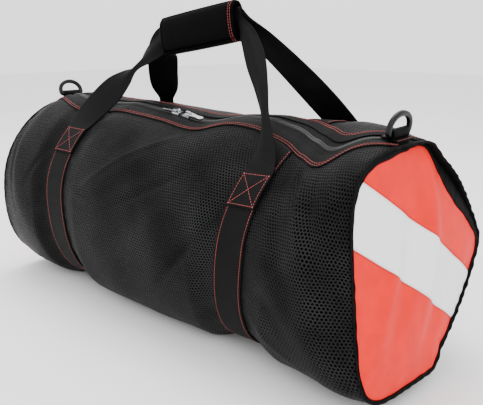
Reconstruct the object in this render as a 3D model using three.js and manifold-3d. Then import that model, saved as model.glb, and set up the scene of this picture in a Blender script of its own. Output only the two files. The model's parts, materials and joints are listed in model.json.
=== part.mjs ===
// Mesh dive gear bag: a stuffed barrel duffel of black net that lies on its side.
// Millimetres, +Z up, +X along the bag. The front (-Y) side carries the feet of the front handle.
import * as THREE from 'three';
import { mergeVertices } from 'three/addons/utils/BufferGeometryUtils.js';
import Module from 'manifold-3d';

const wasm = await Module();
wasm.setup();

// Sewn barrel of net
const bagLength = 760;
const bodyHalfWidth = 146;
const bodyHeight = 316;
const meshWall = 1.6;
const clothGap = 0.3;

// Webbing of the two belts and the two carrying handles
const webbingWidth = 50;
const webbingThickness = 1.9;
const beltSpacing = 396;
const beltPinch = 9;
const beltPinchAtCrown = 3.6;
const beltBlend = 42;

// Long zip along the top: tapes, coil, and the facings sewn over the edges of the net
const zipHalfSlot = 17;
const zipTapeThickness = 1.1;
const coilHalfWidth = 3.6;
const coilAbove = 1.6;
const coilBelow = 1.4;
const facingWidth = 21;
const facingThickness = 1.3;
const facingOverhang = 4;

// End panels with their flag stripe, and the binding round their seams
const panelThickness = 1.5;
const panelDome = 13;
const stripeWidth = 68;
const stripeHeading = 33.5;
const bindingProud = 0.9;
const bindingInside = 0.8;
const bindingWidth = 11;

// Handles: stitched feet on the belts, and the padded grip wrapped round both straps
const footLength = 47;
const legLift = 0.2;
const gripLength = 160;
const gripHeight = 56;
const gripThickness = 26;
const gripSlotHeight = 43;
const gripSlotThickness = 8;
const gripMouthFlare = 10;
const gripHold = 4;
const gripFlap = 1.6;
const gripPitch = 8.4;
const gripX = 3;
const gripRise = 430;
const strapsApart = 1.4;
const gathered = 0.78;

// Ring tabs at both ends of the zip, and their moulded rings
const ringWidth = 47;
const ringHeight = 28;
const ringBand = 5.4;
const ringDepth = 4.6;
const ringBevel = 1;
const tabWidth = 32;
const tabThickness = 2.2;
const tabFoot = 12;
const tabRise = 7;
const tabInset = 15;
const tabBoreSlack = 1;

// Zip sliders and their pull tabs
const sliderLength = 15;
const sliderWidth = 12;
const sliderPlate = 1.5;
const sliderMeeting = -20;
const sliderOffset = 12;
const sliderSlack = 0.6;
const bailLength = 11;
const bailRise = 4.6;
const bailThickness = 1.6;
const bailWidth = 3.2;
const pullLength = 34;
const pullWidth = 9;
const pullThickness = 1.6;
const pullBar = 1.8;
const pullSlack = 0.4;
const pullDroop = 3;

// How finely the cloth is laid out
const stationStep = 40;
const girthSpans = 34;

const HALF = bagLength / 2;
const DEG = Math.PI / 180;

// Sections of the barrel. at: place along it as a share of the half length. front, back: half widths as
// shares of bodyHalfWidth. foot, crown: lowest and highest points as shares of bodyHeight. shoulder,
// belly, hind: how square the section is at the upper front, the lower front and the back (2 is an
// ellipse). lean, skew: how far it goes along the bag for each step up, and for each step back.
const sections = [
  {
    at: -1.0, front: 0.92, back: 0.92, foot: 0.02, crown: 0.96,
    shoulder: 2.0, belly: 2.4, hind: 2.1, lean: 0.1, skew: -0.06,
  },
  {
    at: -0.86, front: 0.98, back: 0.98, foot: 0.0, crown: 1.005,
    shoulder: 1.9, belly: 2.5, hind: 2.3, lean: 0.05, skew: -0.04,
  },
  {
    at: -0.52, front: 1.0, back: 1.0, foot: -0.01, crown: 1.01,
    shoulder: 1.8, belly: 2.5, hind: 2.3, lean: 0.03, skew: 0,
  },
  {
    at: -0.2, front: 1.0, back: 1.0, foot: -0.015, crown: 1.0,
    shoulder: 1.85, belly: 2.6, hind: 2.3, lean: 0.03, skew: 0,
  },
  {
    at: 0.15, front: 1.0, back: 1.0, foot: -0.015, crown: 0.985,
    shoulder: 1.85, belly: 2.6, hind: 2.3, lean: 0.1, skew: 0,
  },
  {
    at: 0.52, front: 1.0, back: 1.0, foot: -0.01, crown: 1.01,
    shoulder: 1.8, belly: 2.5, hind: 2.1, lean: 0.18, skew: 0,
  },
  {
    at: 0.83, front: 1.05, back: 1.05, foot: 0.0, crown: 1.005,
    shoulder: 2.2, belly: 2.8, hind: 1.8, lean: 0.02, skew: 0,
  },
  {
    at: 1.0, front: 0.94, back: 1.03, foot: 0.06, crown: 0.965,
    shoulder: 3.6, belly: 5.5, hind: 1.3, lean: -0.1, skew: 0,
  },
];

// The line of the zip. turn: degrees from straight up towards the front. sag: how far the crown sinks
// along it, as a share of bodyHeight.
const zipLine = [
  { at: -1.0, turn: -3, sag: 0.0 },
  { at: -0.85, turn: 3, sag: 0.0 },
  { at: -0.65, turn: 11, sag: 0.0 },
  { at: -0.42, turn: 7, sag: 0.005 },
  { at: -0.1, turn: 8, sag: 0.015 },
  { at: 0.1, turn: 10, sag: 0.02 },
  { at: 0.22, turn: 4, sag: 0.0 },
  { at: 0.38, turn: 7, sag: 0.0 },
  { at: 0.52, turn: 13, sag: 0.005 },
  { at: 0.66, turn: 22, sag: 0.01 },
  { at: 0.78, turn: 27, sag: 0.015 },
  { at: 0.88, turn: 18, sag: 0.005 },
  { at: 1.0, turn: 5, sag: 0.0 },
];

// Folds and bulges of the stuffed net. at and turn place the middle. heading: the way the fold runs, in
// degrees from the bag's length towards its underside. run, across, depth: half length, half width and
// how far it stands out (in, where negative), as shares of bodyHalfWidth.
const folds = [
  { at: -0.12, turn: 58, heading: -35, run: 0.6, across: 0.13, depth: 0.035 },
  { at: 0.02, turn: 82, heading: -40, run: 0.6, across: 0.16, depth: -0.03 },
  { at: 0.7, turn: 62, heading: 62, run: 0.5, across: 0.13, depth: -0.045 },
  { at: 0.84, turn: 86, heading: 72, run: 0.5, across: 0.14, depth: 0.03 },
  { at: 0.68, turn: 104, heading: 42, run: 0.5, across: 0.13, depth: -0.035 },
  { at: -0.78, turn: 100, heading: 60, run: 0.5, across: 0.2, depth: 0.02 },
  { at: 0.18, turn: 112, heading: -20, run: 0.6, across: 0.24, depth: 0.02 },
  { at: -0.3, turn: 285, heading: 25, run: 0.7, across: 0.2, depth: 0.03 },
  { at: 0.3, turn: 262, heading: -30, run: 0.6, across: 0.16, depth: -0.03 },
  { at: 0.8, turn: 290, heading: 60, run: 0.5, across: 0.14, depth: -0.03 },
];

// Folds of an end panel. y, z: the middle, as shares of bodyHalfWidth, z from the panel's middle.
// heading: degrees from level. run, across, depth: shares of bodyHalfWidth, depth outwards.
const panelFolds = [
  { y: 0.12, z: 0.4, heading: 78, run: 0.7, across: 0.1, depth: 0.05 },
  { y: -0.3, z: 0.1, heading: 72, run: 0.5, across: 0.12, depth: -0.05 },
  { y: -0.55, z: -0.15, heading: 64, run: 0.45, across: 0.12, depth: 0.05 },
  { y: 0.2, z: -0.4, heading: 55, run: 0.45, across: 0.14, depth: -0.045 },
];

// How far the binding of an end seam stands along the bag, as a share of its width. at: degrees round
// the seam from straight up, by the front.
const bindingTurns = [
  { at: 0, stand: 0.8 },
  { at: 50, stand: 0.2 },
  { at: 240, stand: 0.2 },
  { at: 285, stand: 0.35 },
  { at: 325, stand: 1.0 },
  { at: 360, stand: 0.8 },
];

// Legs of the handles. footTop: degrees from straight up to where the leg leaves its stitched foot. rise,
// reach, drop: how far the leg runs on from its foot, how far it runs on out of the grip, and how far it
// sinks by then, as shares of its own length. rows: from foot (0) to grip (1), roll being how far the
// strap turns over about its length, in degrees, and gather its width as a share of the webbing's.
const frontLeftLeg = {
  footTop: 37,
  rise: 0.12,
  reach: 0.12,
  drop: 0.07,
  rows: [
    { at: 0, roll: 0, gather: 1 },
    { at: 0.4, roll: 0, gather: 0.95 },
    { at: 0.62, roll: 45, gather: 0.8 },
    { at: 0.8, roll: 10, gather: 0.62 },
    { at: 0.92, roll: 0, gather: 0.56 },
    { at: 1, roll: 0, gather: gathered },
  ],
};
const frontRightLeg = {
  footTop: 45,
  rise: 0.2,
  reach: 0.13,
  drop: 0.05,
  rows: [
    { at: 0, roll: 0, gather: 1 },
    { at: 0.2, roll: 5, gather: 0.95 },
    { at: 0.42, roll: 55, gather: 0.75 },
    { at: 0.66, roll: 20, gather: 0.75 },
    { at: 0.9, roll: 0, gather: 0.56 },
    { at: 1, roll: 0, gather: gathered },
  ],
};
const backLeftLeg = {
  footTop: 44,
  rise: 0.18,
  reach: 0.12,
  drop: 0.05,
  rows: [
    { at: 0, roll: 0, gather: 1 },
    { at: 0.4, roll: -20, gather: 0.9 },
    { at: 0.8, roll: -8, gather: 0.62 },
    { at: 0.92, roll: 0, gather: 0.56 },
    { at: 1, roll: 0, gather: gathered },
  ],
};
const backRightLeg = {
  footTop: 44,
  rise: 0.05,
  reach: 0.17,
  drop: 0.06,
  rows: [
    { at: 0, roll: 0, gather: 1 },
    { at: 0.4, roll: 8, gather: 0.95 },
    { at: 0.75, roll: 0, gather: 0.7 },
    { at: 0.9, roll: 0, gather: 0.56 },
    { at: 1, roll: 0, gather: gathered },
  ],
};

const clamp = (value, low, high) => Math.min(high, Math.max(low, value));
const mix = (from, to, share) => from + (to - from) * share;
const ease = (share) => share * share * (3 - 2 * share);
const bell = (distance) => Math.exp(-distance * distance);
const vec = (x, y, z) => new THREE.Vector3(x, y, z);
const around = (turn) => ((((turn + 180) % 360) + 360) % 360) - 180;

// The value of a column at a place along a table, on a smooth curve through its rows
function read(rows, column, at) {
  const last = rows.length - 1;
  let i = 0;
  while (i < last - 1 && at > rows[i + 1].at) i += 1;
  const row = (k) => rows[clamp(k, 0, last)];
  const slope = (k) => (row(k + 1)[column] - row(k - 1)[column]) / (row(k + 1).at - row(k - 1).at);
  const span = row(i + 1).at - row(i).at;
  const t = clamp((at - row(i).at) / span, 0, 1);
  const start = row(i)[column] * (1 + 2 * t) * (1 - t) ** 2 + slope(i) * span * t * (1 - t) ** 2;
  return start + row(i + 1)[column] * t * t * (3 - 2 * t) - slope(i + 1) * span * t * t * (1 - t);
}

// 1 under a belt, 0 away from it
function underBelt(x) {
  const beyond = Math.abs(Math.abs(x) - beltSpacing / 2) - webbingWidth / 2;
  return 1 - ease(clamp(beyond / beltBlend, 0, 1));
}

// How far the folds push the barrel's face out at a place
function foldDepth(at, turn) {
  let depth = 0;
  for (const fold of folds) {
    const along = (at - fold.at) * HALF;
    const girth = around(turn - fold.turn) * DEG * bodyHalfWidth;
    const c = Math.cos(fold.heading * DEG);
    const s = Math.sin(fold.heading * DEG);
    const run = (along * c + girth * s) / (fold.run * bodyHalfWidth);
    const across = (girth * c - along * s) / (fold.across * bodyHalfWidth);
    depth += fold.depth * bodyHalfWidth * bell(run) * bell(across);
  }
  const fromZip = (around(turn - read(zipLine, 'turn', at)) * DEG * bodyHalfWidth) / (2.2 * zipHalfSlot);
  return depth * (1 - 0.7 * underBelt(at * HALF)) - read(zipLine, 'sag', at) * bodyHeight * bell(fromZip);
}

// A point of the barrel's outer face: at is the share along it, turn the degrees from straight up
// towards the front. The underside is flat where it lies on the ground.
function barrel(at, turn) {
  const foot = read(sections, 'foot', at) * bodyHeight;
  const crown = read(sections, 'crown', at) * bodyHeight;
  const middle = (foot + crown) / 2;
  const side = Math.sin(turn * DEG);
  const up = Math.cos(turn * DEG);
  const hindward = ease(clamp(0.5 - 1.4 * side, 0, 1));
  const width = mix(read(sections, 'front', at), read(sections, 'back', at), hindward) * bodyHalfWidth;
  const fore = mix(read(sections, 'belly', at), read(sections, 'shoulder', at), ease((1 + up) / 2));
  const power = mix(fore, read(sections, 'hind', at), hindward);
  const sideways = Math.abs(side / width) ** power;
  const upwards = Math.abs((2 * up) / (crown - foot)) ** power;
  const reach = (sideways + upwards) ** (-1 / power);
  const pinch = underBelt(at * HALF) * (beltPinch - (beltPinch - beltPinchAtCrown) * up);
  const stand = reach + foldDepth(at, turn) - pinch;
  const lift = underBelt(at * HALF) * (webbingThickness + clothGap);
  const y = -stand * side;
  const z = Math.max(middle + stand * up, lift);
  return vec(at * HALF + read(sections, 'lean', at) * (z - middle) + read(sections, 'skew', at) * y, y, z);
}

// A place that stands off the barrel's outer face along the face's normal, and the ways along the bag
// and round it there
function onBarrel(at, turn, height = 0) {
  const step = 0.002;
  const near = clamp(at, -1 + step, 1 - step);
  const alongX = barrel(near + step, turn).sub(barrel(near - step, turn)).normalize();
  const girth = barrel(near, turn + 1).sub(barrel(near, turn - 1)).normalize();
  const normal = girth.clone().cross(alongX).normalize();
  return { point: barrel(at, turn).addScaledVector(normal, height), normal, girth };
}

// The turn of a place at an arc from the zip's middle, arcs being positive towards the front
function zipTurn(at, arc = 0) {
  const middle = read(zipLine, 'turn', at);
  const degree = barrel(at, middle + 2).distanceTo(barrel(at, middle - 2)) / 4;
  return middle + arc / degree;
}

// A place along the bag as a share of its half length
const beltLine = (side, edge) => (side * beltSpacing + edge * webbingWidth) / 2 / HALF;
const beltStations = (side) => [-1, 0, 1].map((edge) => beltLine(side, edge));

// Stations along the bag: its ends, the edges and middles of the belts, and even steps between them.
// Every layer of cloth is laid out on them, so that the layers lie parallel.
function stationsAlong() {
  const knots = [-1, 1];
  for (const side of [-1, 1]) {
    const blend = beltBlend / HALF;
    knots.push(...beltStations(side), beltLine(side, 1) + blend, beltLine(side, -1) - blend);
  }
  knots.sort((a, b) => a - b);
  const places = [-1];
  for (let i = 1; i < knots.length; i += 1) {
    const steps = Math.ceil(((knots[i] - knots[i - 1]) * HALF) / stationStep);
    for (let k = 1; k <= steps; k += 1) places.push(mix(knots[i - 1], knots[i], k / steps));
  }
  return places;
}
const stations = stationsAlong();

// Lines round the barrel are numbered from the front edge of the zip slot (0), under the bag, to its back
// edge (girthSpans), and on across the zip to the front edge again (girthSpans + 1).
function girthTurn(at, line) {
  const facingEdge = zipHalfSlot - facingOverhang + facingWidth;
  const front = [zipTurn(at, zipHalfSlot), zipTurn(at, facingEdge)];
  const back = [zipTurn(at, -facingEdge) + 360, zipTurn(at, -zipHalfSlot) + 360];
  if (line < 1) return mix(front[0], front[1], line);
  if (line <= girthSpans - 1) return mix(front[1], back[0], (line - 1) / (girthSpans - 2));
  if (line <= girthSpans) return mix(back[0], back[1], line - girthSpans + 1);
  return mix(back[1], front[0] + 360, line - girthSpans);
}
const lineAtTurn = (at, turn) => {
  const first = girthTurn(at, 1);
  return 1 + ((turn - first) / (girthTurn(at, girthSpans - 1) - first)) * (girthSpans - 2);
};
const lineArc = (2 * Math.PI * bodyHalfWidth) / girthSpans;

// The lines from one place on the girth to another, with every whole line between them
function linesBetween(from, to) {
  const lines = [from];
  for (let line = Math.floor(from) + 1; line < to; line += 1) lines.push(line);
  lines.push(to);
  return lines;
}
const girthLines = linesBetween(0, girthSpans);
const endLines = [...girthLines, girthSpans + 0.5];

// A closed solid from its vertices and triangles, turned so that its faces point out
function solidMesh(vertices, triangles) {
  let volume = 0;
  for (const [a, b, c] of triangles) volume += vertices[a].dot(vertices[b].clone().cross(vertices[c]));
  const index = volume < 0 ? triangles.map(([a, b, c]) => [a, c, b]) : triangles;
  const geometry = new THREE.BufferGeometry().setFromPoints(vertices);
  geometry.setIndex(index.flat());
  return geometry;
}

// A closed wall of cloth from place(run, span, over), with an under face (over 0) and an outer face (1).
// A ring has no ends, because its last run joins its first.
function wall(place, runs, spans, ring = false) {
  const vertices = [];
  const triangles = [];
  for (const run of runs) {
    for (const span of spans) vertices.push(place(run, span, 0), place(run, span, 1));
  }
  const id = (i, j, over) => ((i % runs.length) * spans.length + j) * 2 + over;
  const quad = (a, b, c, d) => triangles.push([a, b, c], [a, c, d]);
  const lastRun = ring ? runs.length : runs.length - 1;
  const lastSpan = spans.length - 1;
  for (let i = 0; i < lastRun; i += 1) {
    for (let j = 0; j < lastSpan; j += 1) {
      quad(id(i, j, 1), id(i + 1, j, 1), id(i + 1, j + 1, 1), id(i, j + 1, 1));
      triangles.push([id(i, j, 0), id(i + 1, j + 1, 0), id(i + 1, j, 0)]);
      triangles.push([id(i, j, 0), id(i, j + 1, 0), id(i + 1, j + 1, 0)]);
    }
    quad(id(i, 0, 0), id(i + 1, 0, 0), id(i + 1, 0, 1), id(i, 0, 1));
    quad(id(i, lastSpan, 0), id(i, lastSpan, 1), id(i + 1, lastSpan, 1), id(i + 1, lastSpan, 0));
  }
  for (let j = 0; j < lastSpan && !ring; j += 1) {
    quad(id(0, j, 0), id(0, j, 1), id(0, j + 1, 1), id(0, j + 1, 0));
    quad(id(lastRun, j, 0), id(lastRun, j + 1, 0), id(lastRun, j + 1, 1), id(lastRun, j, 1));
  }
  return solidMesh(vertices, triangles);
}

// A closed round plate from place(radius, spoke, over), radius being a share from the middle to the rim
function plate(place, radii, spokes) {
  const vertices = [place(0, spokes[0], 0), place(0, spokes[0], 1)];
  const triangles = [];
  for (const radius of radii) {
    for (const spoke of spokes) vertices.push(place(radius, spoke, 0), place(radius, spoke, 1));
  }
  const id = (i, j, over) => 2 + (i * spokes.length + (j % spokes.length)) * 2 + over;
  const rim = radii.length - 1;
  for (let j = 0; j < spokes.length; j += 1) {
    triangles.push([1, id(0, j, 1), id(0, j + 1, 1)], [0, id(0, j + 1, 0), id(0, j, 0)]);
    for (let i = 0; i < rim; i += 1) {
      triangles.push([id(i, j, 1), id(i + 1, j, 1), id(i + 1, j + 1, 1)]);
      triangles.push([id(i, j, 1), id(i + 1, j + 1, 1), id(i, j + 1, 1)]);
      triangles.push([id(i, j, 0), id(i + 1, j + 1, 0), id(i + 1, j, 0)]);
      triangles.push([id(i, j, 0), id(i, j + 1, 0), id(i + 1, j + 1, 0)]);
    }
    triangles.push([id(rim, j, 1), id(rim, j, 0), id(rim, j + 1, 0)]);
    triangles.push([id(rim, j, 1), id(rim, j + 1, 0), id(rim, j + 1, 1)]);
  }
  return solidMesh(vertices, triangles);
}

function toManifold(geometry) {
  const bare = geometry.clone();
  bare.deleteAttribute('normal');
  bare.deleteAttribute('uv');
  const merged = mergeVertices(bare, 1e-3);
  const vertProperties = new Float32Array(merged.attributes.position.array);
  const triVerts = new Uint32Array(merged.index.array);
  return new wasm.Manifold(new wasm.Mesh({ numProp: 3, vertProperties, triVerts }));
}

function fromManifold(solid) {
  const { vertProperties, triVerts } = solid.getMesh();
  const geometry = new THREE.BufferGeometry();
  geometry.setAttribute('position', new THREE.BufferAttribute(new Float32Array(vertProperties), 3));
  geometry.setIndex(new THREE.BufferAttribute(new Uint32Array(triVerts), 1));
  return geometry;
}

// A flat outline given thickness about its own plane, with eased edges where asked
function thickened(shape, thickness, bevel = 0) {
  const geometry = new THREE.ExtrudeGeometry(shape, {
    depth: thickness - 2 * bevel,
    bevelEnabled: bevel > 0,
    bevelThickness: bevel,
    bevelSize: bevel,
    bevelOffset: -bevel,
    bevelSegments: 1,
    curveSegments: 5,
  });
  return geometry.translate(0, 0, bevel - thickness / 2);
}

const cloth = (color, roughness) => new THREE.MeshStandardMaterial({ color, roughness, metalness: 0 });
const netBlack = () => cloth(0x1c1d1e, 0.7);
const webbingBlack = () => cloth(0x121314, 0.75);
const tapeBlack = () => cloth(0x26282a, 0.8);
const nylonRed = () => cloth(0xea4335, 0.5);
const nylonWhite = () => cloth(0xeceeee, 0.5);
const gripBlack = () => cloth(0x17181a, 0.85);
const ringPlastic = () => cloth(0x15161a, 0.4);
const zipMetal = () => new THREE.MeshStandardMaterial({ color: 0xa8aaae, roughness: 0.3, metalness: 1 });

const bag = new THREE.Group();
function add(name, geometry, material, parent = bag) {
  const mesh = new THREE.Mesh(geometry, material);
  mesh.name = name;
  parent.add(mesh);
}

// One sheet of net from the front edge of the zip, under the bag, to the back edge
function netBarrel() {
  const place = (at, line, over) => onBarrel(at, girthTurn(at, line), over ? 0 : -meshWall).point;
  return wall(place, stations, girthLines);
}

// A strip along the zip between arcs and between two heights off the barrel's face
function zipStrip(arcs, low, high) {
  return wall((at, arc, over) => onBarrel(at, zipTurn(at, arc), over ? high : low).point, stations, arcs);
}

// Tape and facing of one side of the zip
function addZipSide(face, label) {
  const arcs = (...places) => places.map((place) => face * place).sort((a, b) => a - b);
  const facingFrom = zipHalfSlot - facingOverhang;
  const tapeArcs = arcs(coilHalfWidth + clothGap, facingFrom, zipHalfSlot - clothGap);
  const facingArcs = arcs(facingFrom, zipHalfSlot, facingFrom + facingWidth);
  add(`zip_tape_${label}`, zipStrip(tapeArcs, -zipTapeThickness, 0), tapeBlack());
  add(`zip_facing_${label}`, zipStrip(facingArcs, clothGap, clothGap + facingThickness), tapeBlack());
}

// A belt round the barrel from the front facing to the back one
function belt(side) {
  const start = 1 + clothGap / lineArc;
  const place = (line, at, over) => {
    const height = clothGap + over * webbingThickness;
    return onBarrel(at, girthTurn(at, line), height).point;
  };
  return wall(place, linesBetween(start, girthSpans - start), beltStations(side));
}

const seamMiddle = (end) => ((read(sections, 'foot', end) + read(sections, 'crown', end)) / 2) * bodyHeight;

// An end panel, domed and folded, held inside the binding of its seam
function endPanel(end) {
  const middle = seamMiddle(end);
  const hub = vec(end * HALF, 0, middle);
  const rimDepth = -meshWall - bindingInside - clothGap;
  const place = (radius, line, over) => {
    const point = hub.clone().lerp(onBarrel(end, girthTurn(end, line), rimDepth).point, radius);
    let stand = clothGap + panelDome * (1 - radius ** 2);
    for (const fold of panelFolds) {
      const y = point.y / bodyHalfWidth - fold.y;
      const z = (point.z - middle) / bodyHalfWidth - fold.z;
      const c = Math.cos(fold.heading * DEG);
      const s = Math.sin(fold.heading * DEG);
      const shape = bell((y * c + z * s) / fold.run) * bell((z * c - y * s) / fold.across);
      stand += fold.depth * bodyHalfWidth * shape * (1 - radius ** 3);
    }
    point.x += end * (stand + over * panelThickness);
    return point;
  };
  return plate(place, [0.3, 0.6, 0.84, 1], endLines);
}

// Binding tape round an end seam, past the edge of the net
function endBinding(end) {
  const place = (line, edge, over) => {
    const turn = girthTurn(end, line);
    const point = onBarrel(end, turn, over ? bindingProud : -meshWall - bindingInside).point;
    const stand = read(bindingTurns, 'stand', ((turn % 360) + 360) % 360) * bindingWidth;
    point.x += end * (clothGap + edge * stand);
    return point;
  };
  return wall(place, endLines, [0, 1], true);
}

// The panel's pieces lie side by side across the stripe, between two distances from its middle
const flagPieces = [
  { name: 'upper', from: stripeWidth / 2 + clothGap, to: bodyHeight, material: nylonRed },
  { name: 'stripe', from: -stripeWidth / 2, to: stripeWidth / 2, material: nylonWhite },
  { name: 'lower', from: -bodyHeight, to: -stripeWidth / 2 - clothGap, material: nylonRed },
];

function addEnd(end, label) {
  const panel = toManifold(endPanel(end));
  for (const piece of flagPieces) {
    const slab = new THREE.BoxGeometry(bagLength / 4, 2 * bodyHeight, piece.to - piece.from);
    slab.translate(0, 0, (piece.to + piece.from) / 2);
    slab.rotateX(-end * stripeHeading * DEG);
    slab.translate(end * HALF, 0, seamMiddle(end));
    const cut = panel.intersect(toManifold(slab));
    add(`flag_${piece.name}_${label}`, fromManifold(cut), piece.material());
  }
  add(`end_binding_${label}`, endBinding(end), webbingBlack());
}

// The padded grip's own directions: along it, across it towards the back, and up
const gripFrame = new THREE.Matrix4().makeRotationY(-gripPitch * DEG).setPosition(gripX, 0, gripRise);
const inGrip = (x, y, z) => vec(x, y, z).applyMatrix4(gripFrame);

// A squared oval, as a point at a turn from its top
function oval(turn, width, height, power) {
  const s = Math.sin(turn * DEG);
  const c = Math.cos(turn * DEG);
  const y = (-Math.sign(s) * width * Math.abs(s) ** (2 / power)) / 2;
  return { y, z: (Math.sign(c) * height * Math.abs(c) ** (2 / power)) / 2 };
}

// A padded sheet wrapped round the two straps. Its flap laps over the front and ends in a step there.
function padGrip() {
  const flapEdge = 18;
  const steps = 26;
  const endRounding = 2.4;
  const padSquareness = 2.6;
  const slotSquareness = 6;
  const turns = [];
  for (let k = 0; k < steps; k += 1) turns.push((k * 360) / steps);
  turns.push(359);
  const mouthFrom = 0.86;
  const lengthwise = [-1, -0.95, -mouthFrom, mouthFrom, 0.95, 1];
  const place = (turn, at, over) => {
    const swell = gripFlap * clamp((turn - 180) / 120, 0, 1) - (Math.abs(at) === 1 ? endRounding : 0);
    const flare = (gripMouthFlare * (Math.abs(at) - mouthFrom)) / (1 - mouthFrom);
    const outer = oval(flapEdge + turn, gripThickness + swell, gripHeight + swell, padSquareness);
    const slotHeight = gripSlotHeight + flare / 2;
    const inner = oval(flapEdge + turn, gripSlotThickness + flare, slotHeight, slotSquareness);
    const { y, z } = over ? outer : inner;
    return inGrip((at * gripLength) / 2, y, z);
  };
  return wall(place, turns, lengthwise, true);
}

// Rows of a strap's stitched foot on a belt, from its low end to its top
function footRows(side, face, leg) {
  const middle = beltLine(side, 0);
  const top = lineAtTurn(middle, face > 0 ? leg.footTop : 360 - leg.footTop);
  const low = top + (face * footLength) / lineArc;
  const lines = linesBetween(Math.min(top, low), Math.max(top, low));
  if (face > 0) lines.reverse();
  return lines.map((line) => (edge, over) => {
    const at = beltLine(side, edge);
    const height = 2 * clothGap + (1 + over) * webbingThickness;
    return onBarrel(at, girthTurn(at, line), height).point;
  });
}

// Rows of a strap's leg from the top of its foot to where the grip holds it
function legRows(side, face, leg) {
  const steps = 16;
  const height = 2 * clothGap + 1.5 * webbingThickness;
  const base = onBarrel(beltLine(side, 0), face > 0 ? leg.footTop : 360 - leg.footTop, height);
  const rise = base.girth.clone().multiplyScalar(-face).addScaledVector(base.normal, legLift).normalize();
  const held = inGrip(side * (gripLength / 2 - gripHold), (-face * (webbingThickness + strapsApart)) / 2, 0);
  const outwards = inGrip(side, 0, 0).sub(inGrip(0, 0, 0));
  const distance = base.point.distanceTo(held);
  const curve = new THREE.CubicBezierCurve3(
    base.point,
    base.point.clone().addScaledVector(rise, distance * leg.rise),
    held.clone().addScaledVector(outwards, distance * leg.reach).add(vec(0, 0, -distance * leg.drop)),
    held,
  );
  const rows = [];
  for (let k = 1; k <= steps; k += 1) {
    const t = k / steps;
    const tangent = curve.getTangent(t);
    const faced = base.normal.clone().lerp(vec(0, -face, 0), ease(t)).normalize();
    const across = tangent.clone().cross(faced).multiplyScalar(face).normalize();
    const normal = across.clone().cross(tangent).multiplyScalar(face).normalize();
    const roll = read(leg.rows, 'roll', t) * DEG * side;
    const wide = across.clone().multiplyScalar(Math.cos(roll)).addScaledVector(normal, Math.sin(roll));
    const thick = normal.clone().multiplyScalar(Math.cos(roll)).addScaledVector(across, -Math.sin(roll));
    const halfWide = (read(leg.rows, 'gather', t) * webbingWidth) / 2;
    const centre = curve.getPoint(t);
    rows.push((edge, over) => {
      const point = centre.clone().addScaledVector(wide, edge * halfWide);
      return point.addScaledVector(thick, (over - 0.5) * webbingThickness);
    });
  }
  return rows;
}

// One handle: foot, leg, through the grip, leg and foot. The left leg's edges run the same way as the
// right leg's, because both start square on the belts.
function handle(face, leftLeg, rightLeg) {
  const left = [...footRows(-1, face, leftLeg), ...legRows(-1, face, leftLeg)];
  const right = [...footRows(1, face, rightLeg), ...legRows(1, face, rightLeg)].reverse();
  const flipped = right.map((row) => (edge, over) => row(-edge, over));
  return wall((row, edge, over) => row(edge, over), [...left, ...flipped], [face, 0, -face]);
}

// A place on the layers of the zip, which run straight from station to station: x along the bag, an arc
// from the zip's middle, and a height over the tape
function zipPlace(x, arc, height) {
  const at = x / HALF;
  const next = clamp(stations.findIndex((station) => station > at), 1, stations.length - 1);
  const before = onBarrel(stations[next - 1], zipTurn(stations[next - 1], arc), height);
  const after = onBarrel(stations[next], zipTurn(stations[next], arc), height);
  const share = (at - stations[next - 1]) / (stations[next] - stations[next - 1]);
  return {
    point: before.point.clone().lerp(after.point, share),
    normal: before.normal.clone().lerp(after.normal, share),
    along: after.point.clone().sub(before.point),
  };
}

// A group that stands on the zip, its own x running along the zip, or square along the bag, and its z
// away from the bag
function onZip(x, height, square = false) {
  const { point, normal, along } = zipPlace(x, 0, height);
  along.multiply(square ? vec(1, 0, 1) : vec(1, 1, 1)).normalize();
  const across = normal.cross(along).normalize();
  const group = new THREE.Group();
  const away = along.clone().cross(across);
  group.quaternion.setFromRotationMatrix(new THREE.Matrix4().makeBasis(along, across, away));
  group.position.copy(point);
  group.updateMatrix();
  bag.add(group);
  return group;
}

// A loop of webbing with a foot each way. Its bore holds the bar of the ring.
function ringTab() {
  const bore = ringBand / 2 + tabBoreSlack;
  const loop = bore + tabThickness;
  const drop = tabRise - tabThickness;
  const start = Math.asin(drop / loop);
  const shape = new THREE.Shape();
  shape.moveTo(-tabFoot, 0);
  shape.lineTo(tabFoot, 0);
  shape.lineTo(tabFoot, tabThickness);
  shape.absarc(0, tabRise, loop, -start, Math.PI + start, false);
  shape.lineTo(-tabFoot, tabThickness);
  shape.closePath();
  shape.holes.push(new THREE.Path().absarc(0, tabRise, bore, 0, 2 * Math.PI, true));
  return thickened(shape, tabWidth).rotateX(Math.PI / 2);
}

// A moulded ring: a straight bar at the origin, straight cheeks and a round arch over them
function mouldedRing() {
  const outline = (inset) => {
    const half = ringWidth / 2 - inset;
    const foot = inset - ringBand / 2;
    const cheek = ringHeight * 0.22;
    const top = ringHeight - ringBand / 2 - inset;
    const corner = Math.max(ringBand - inset, 1);
    const path = new THREE.Shape();
    path.moveTo(corner - half, foot);
    path.lineTo(half - corner, foot);
    path.absarc(half - corner, foot + corner, corner, -Math.PI / 2, 0, false);
    path.absellipse(0, cheek, half, top - cheek, 0, Math.PI, false);
    path.absarc(corner - half, foot + corner, corner, Math.PI, 1.5 * Math.PI, false);
    return path;
  };
  const shape = outline(0);
  shape.holes.push(new THREE.Path(outline(ringBand).getPoints(5).reverse()));
  return thickened(shape, ringDepth, ringBevel).rotateX(Math.PI / 2).rotateZ(Math.PI / 2);
}

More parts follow.
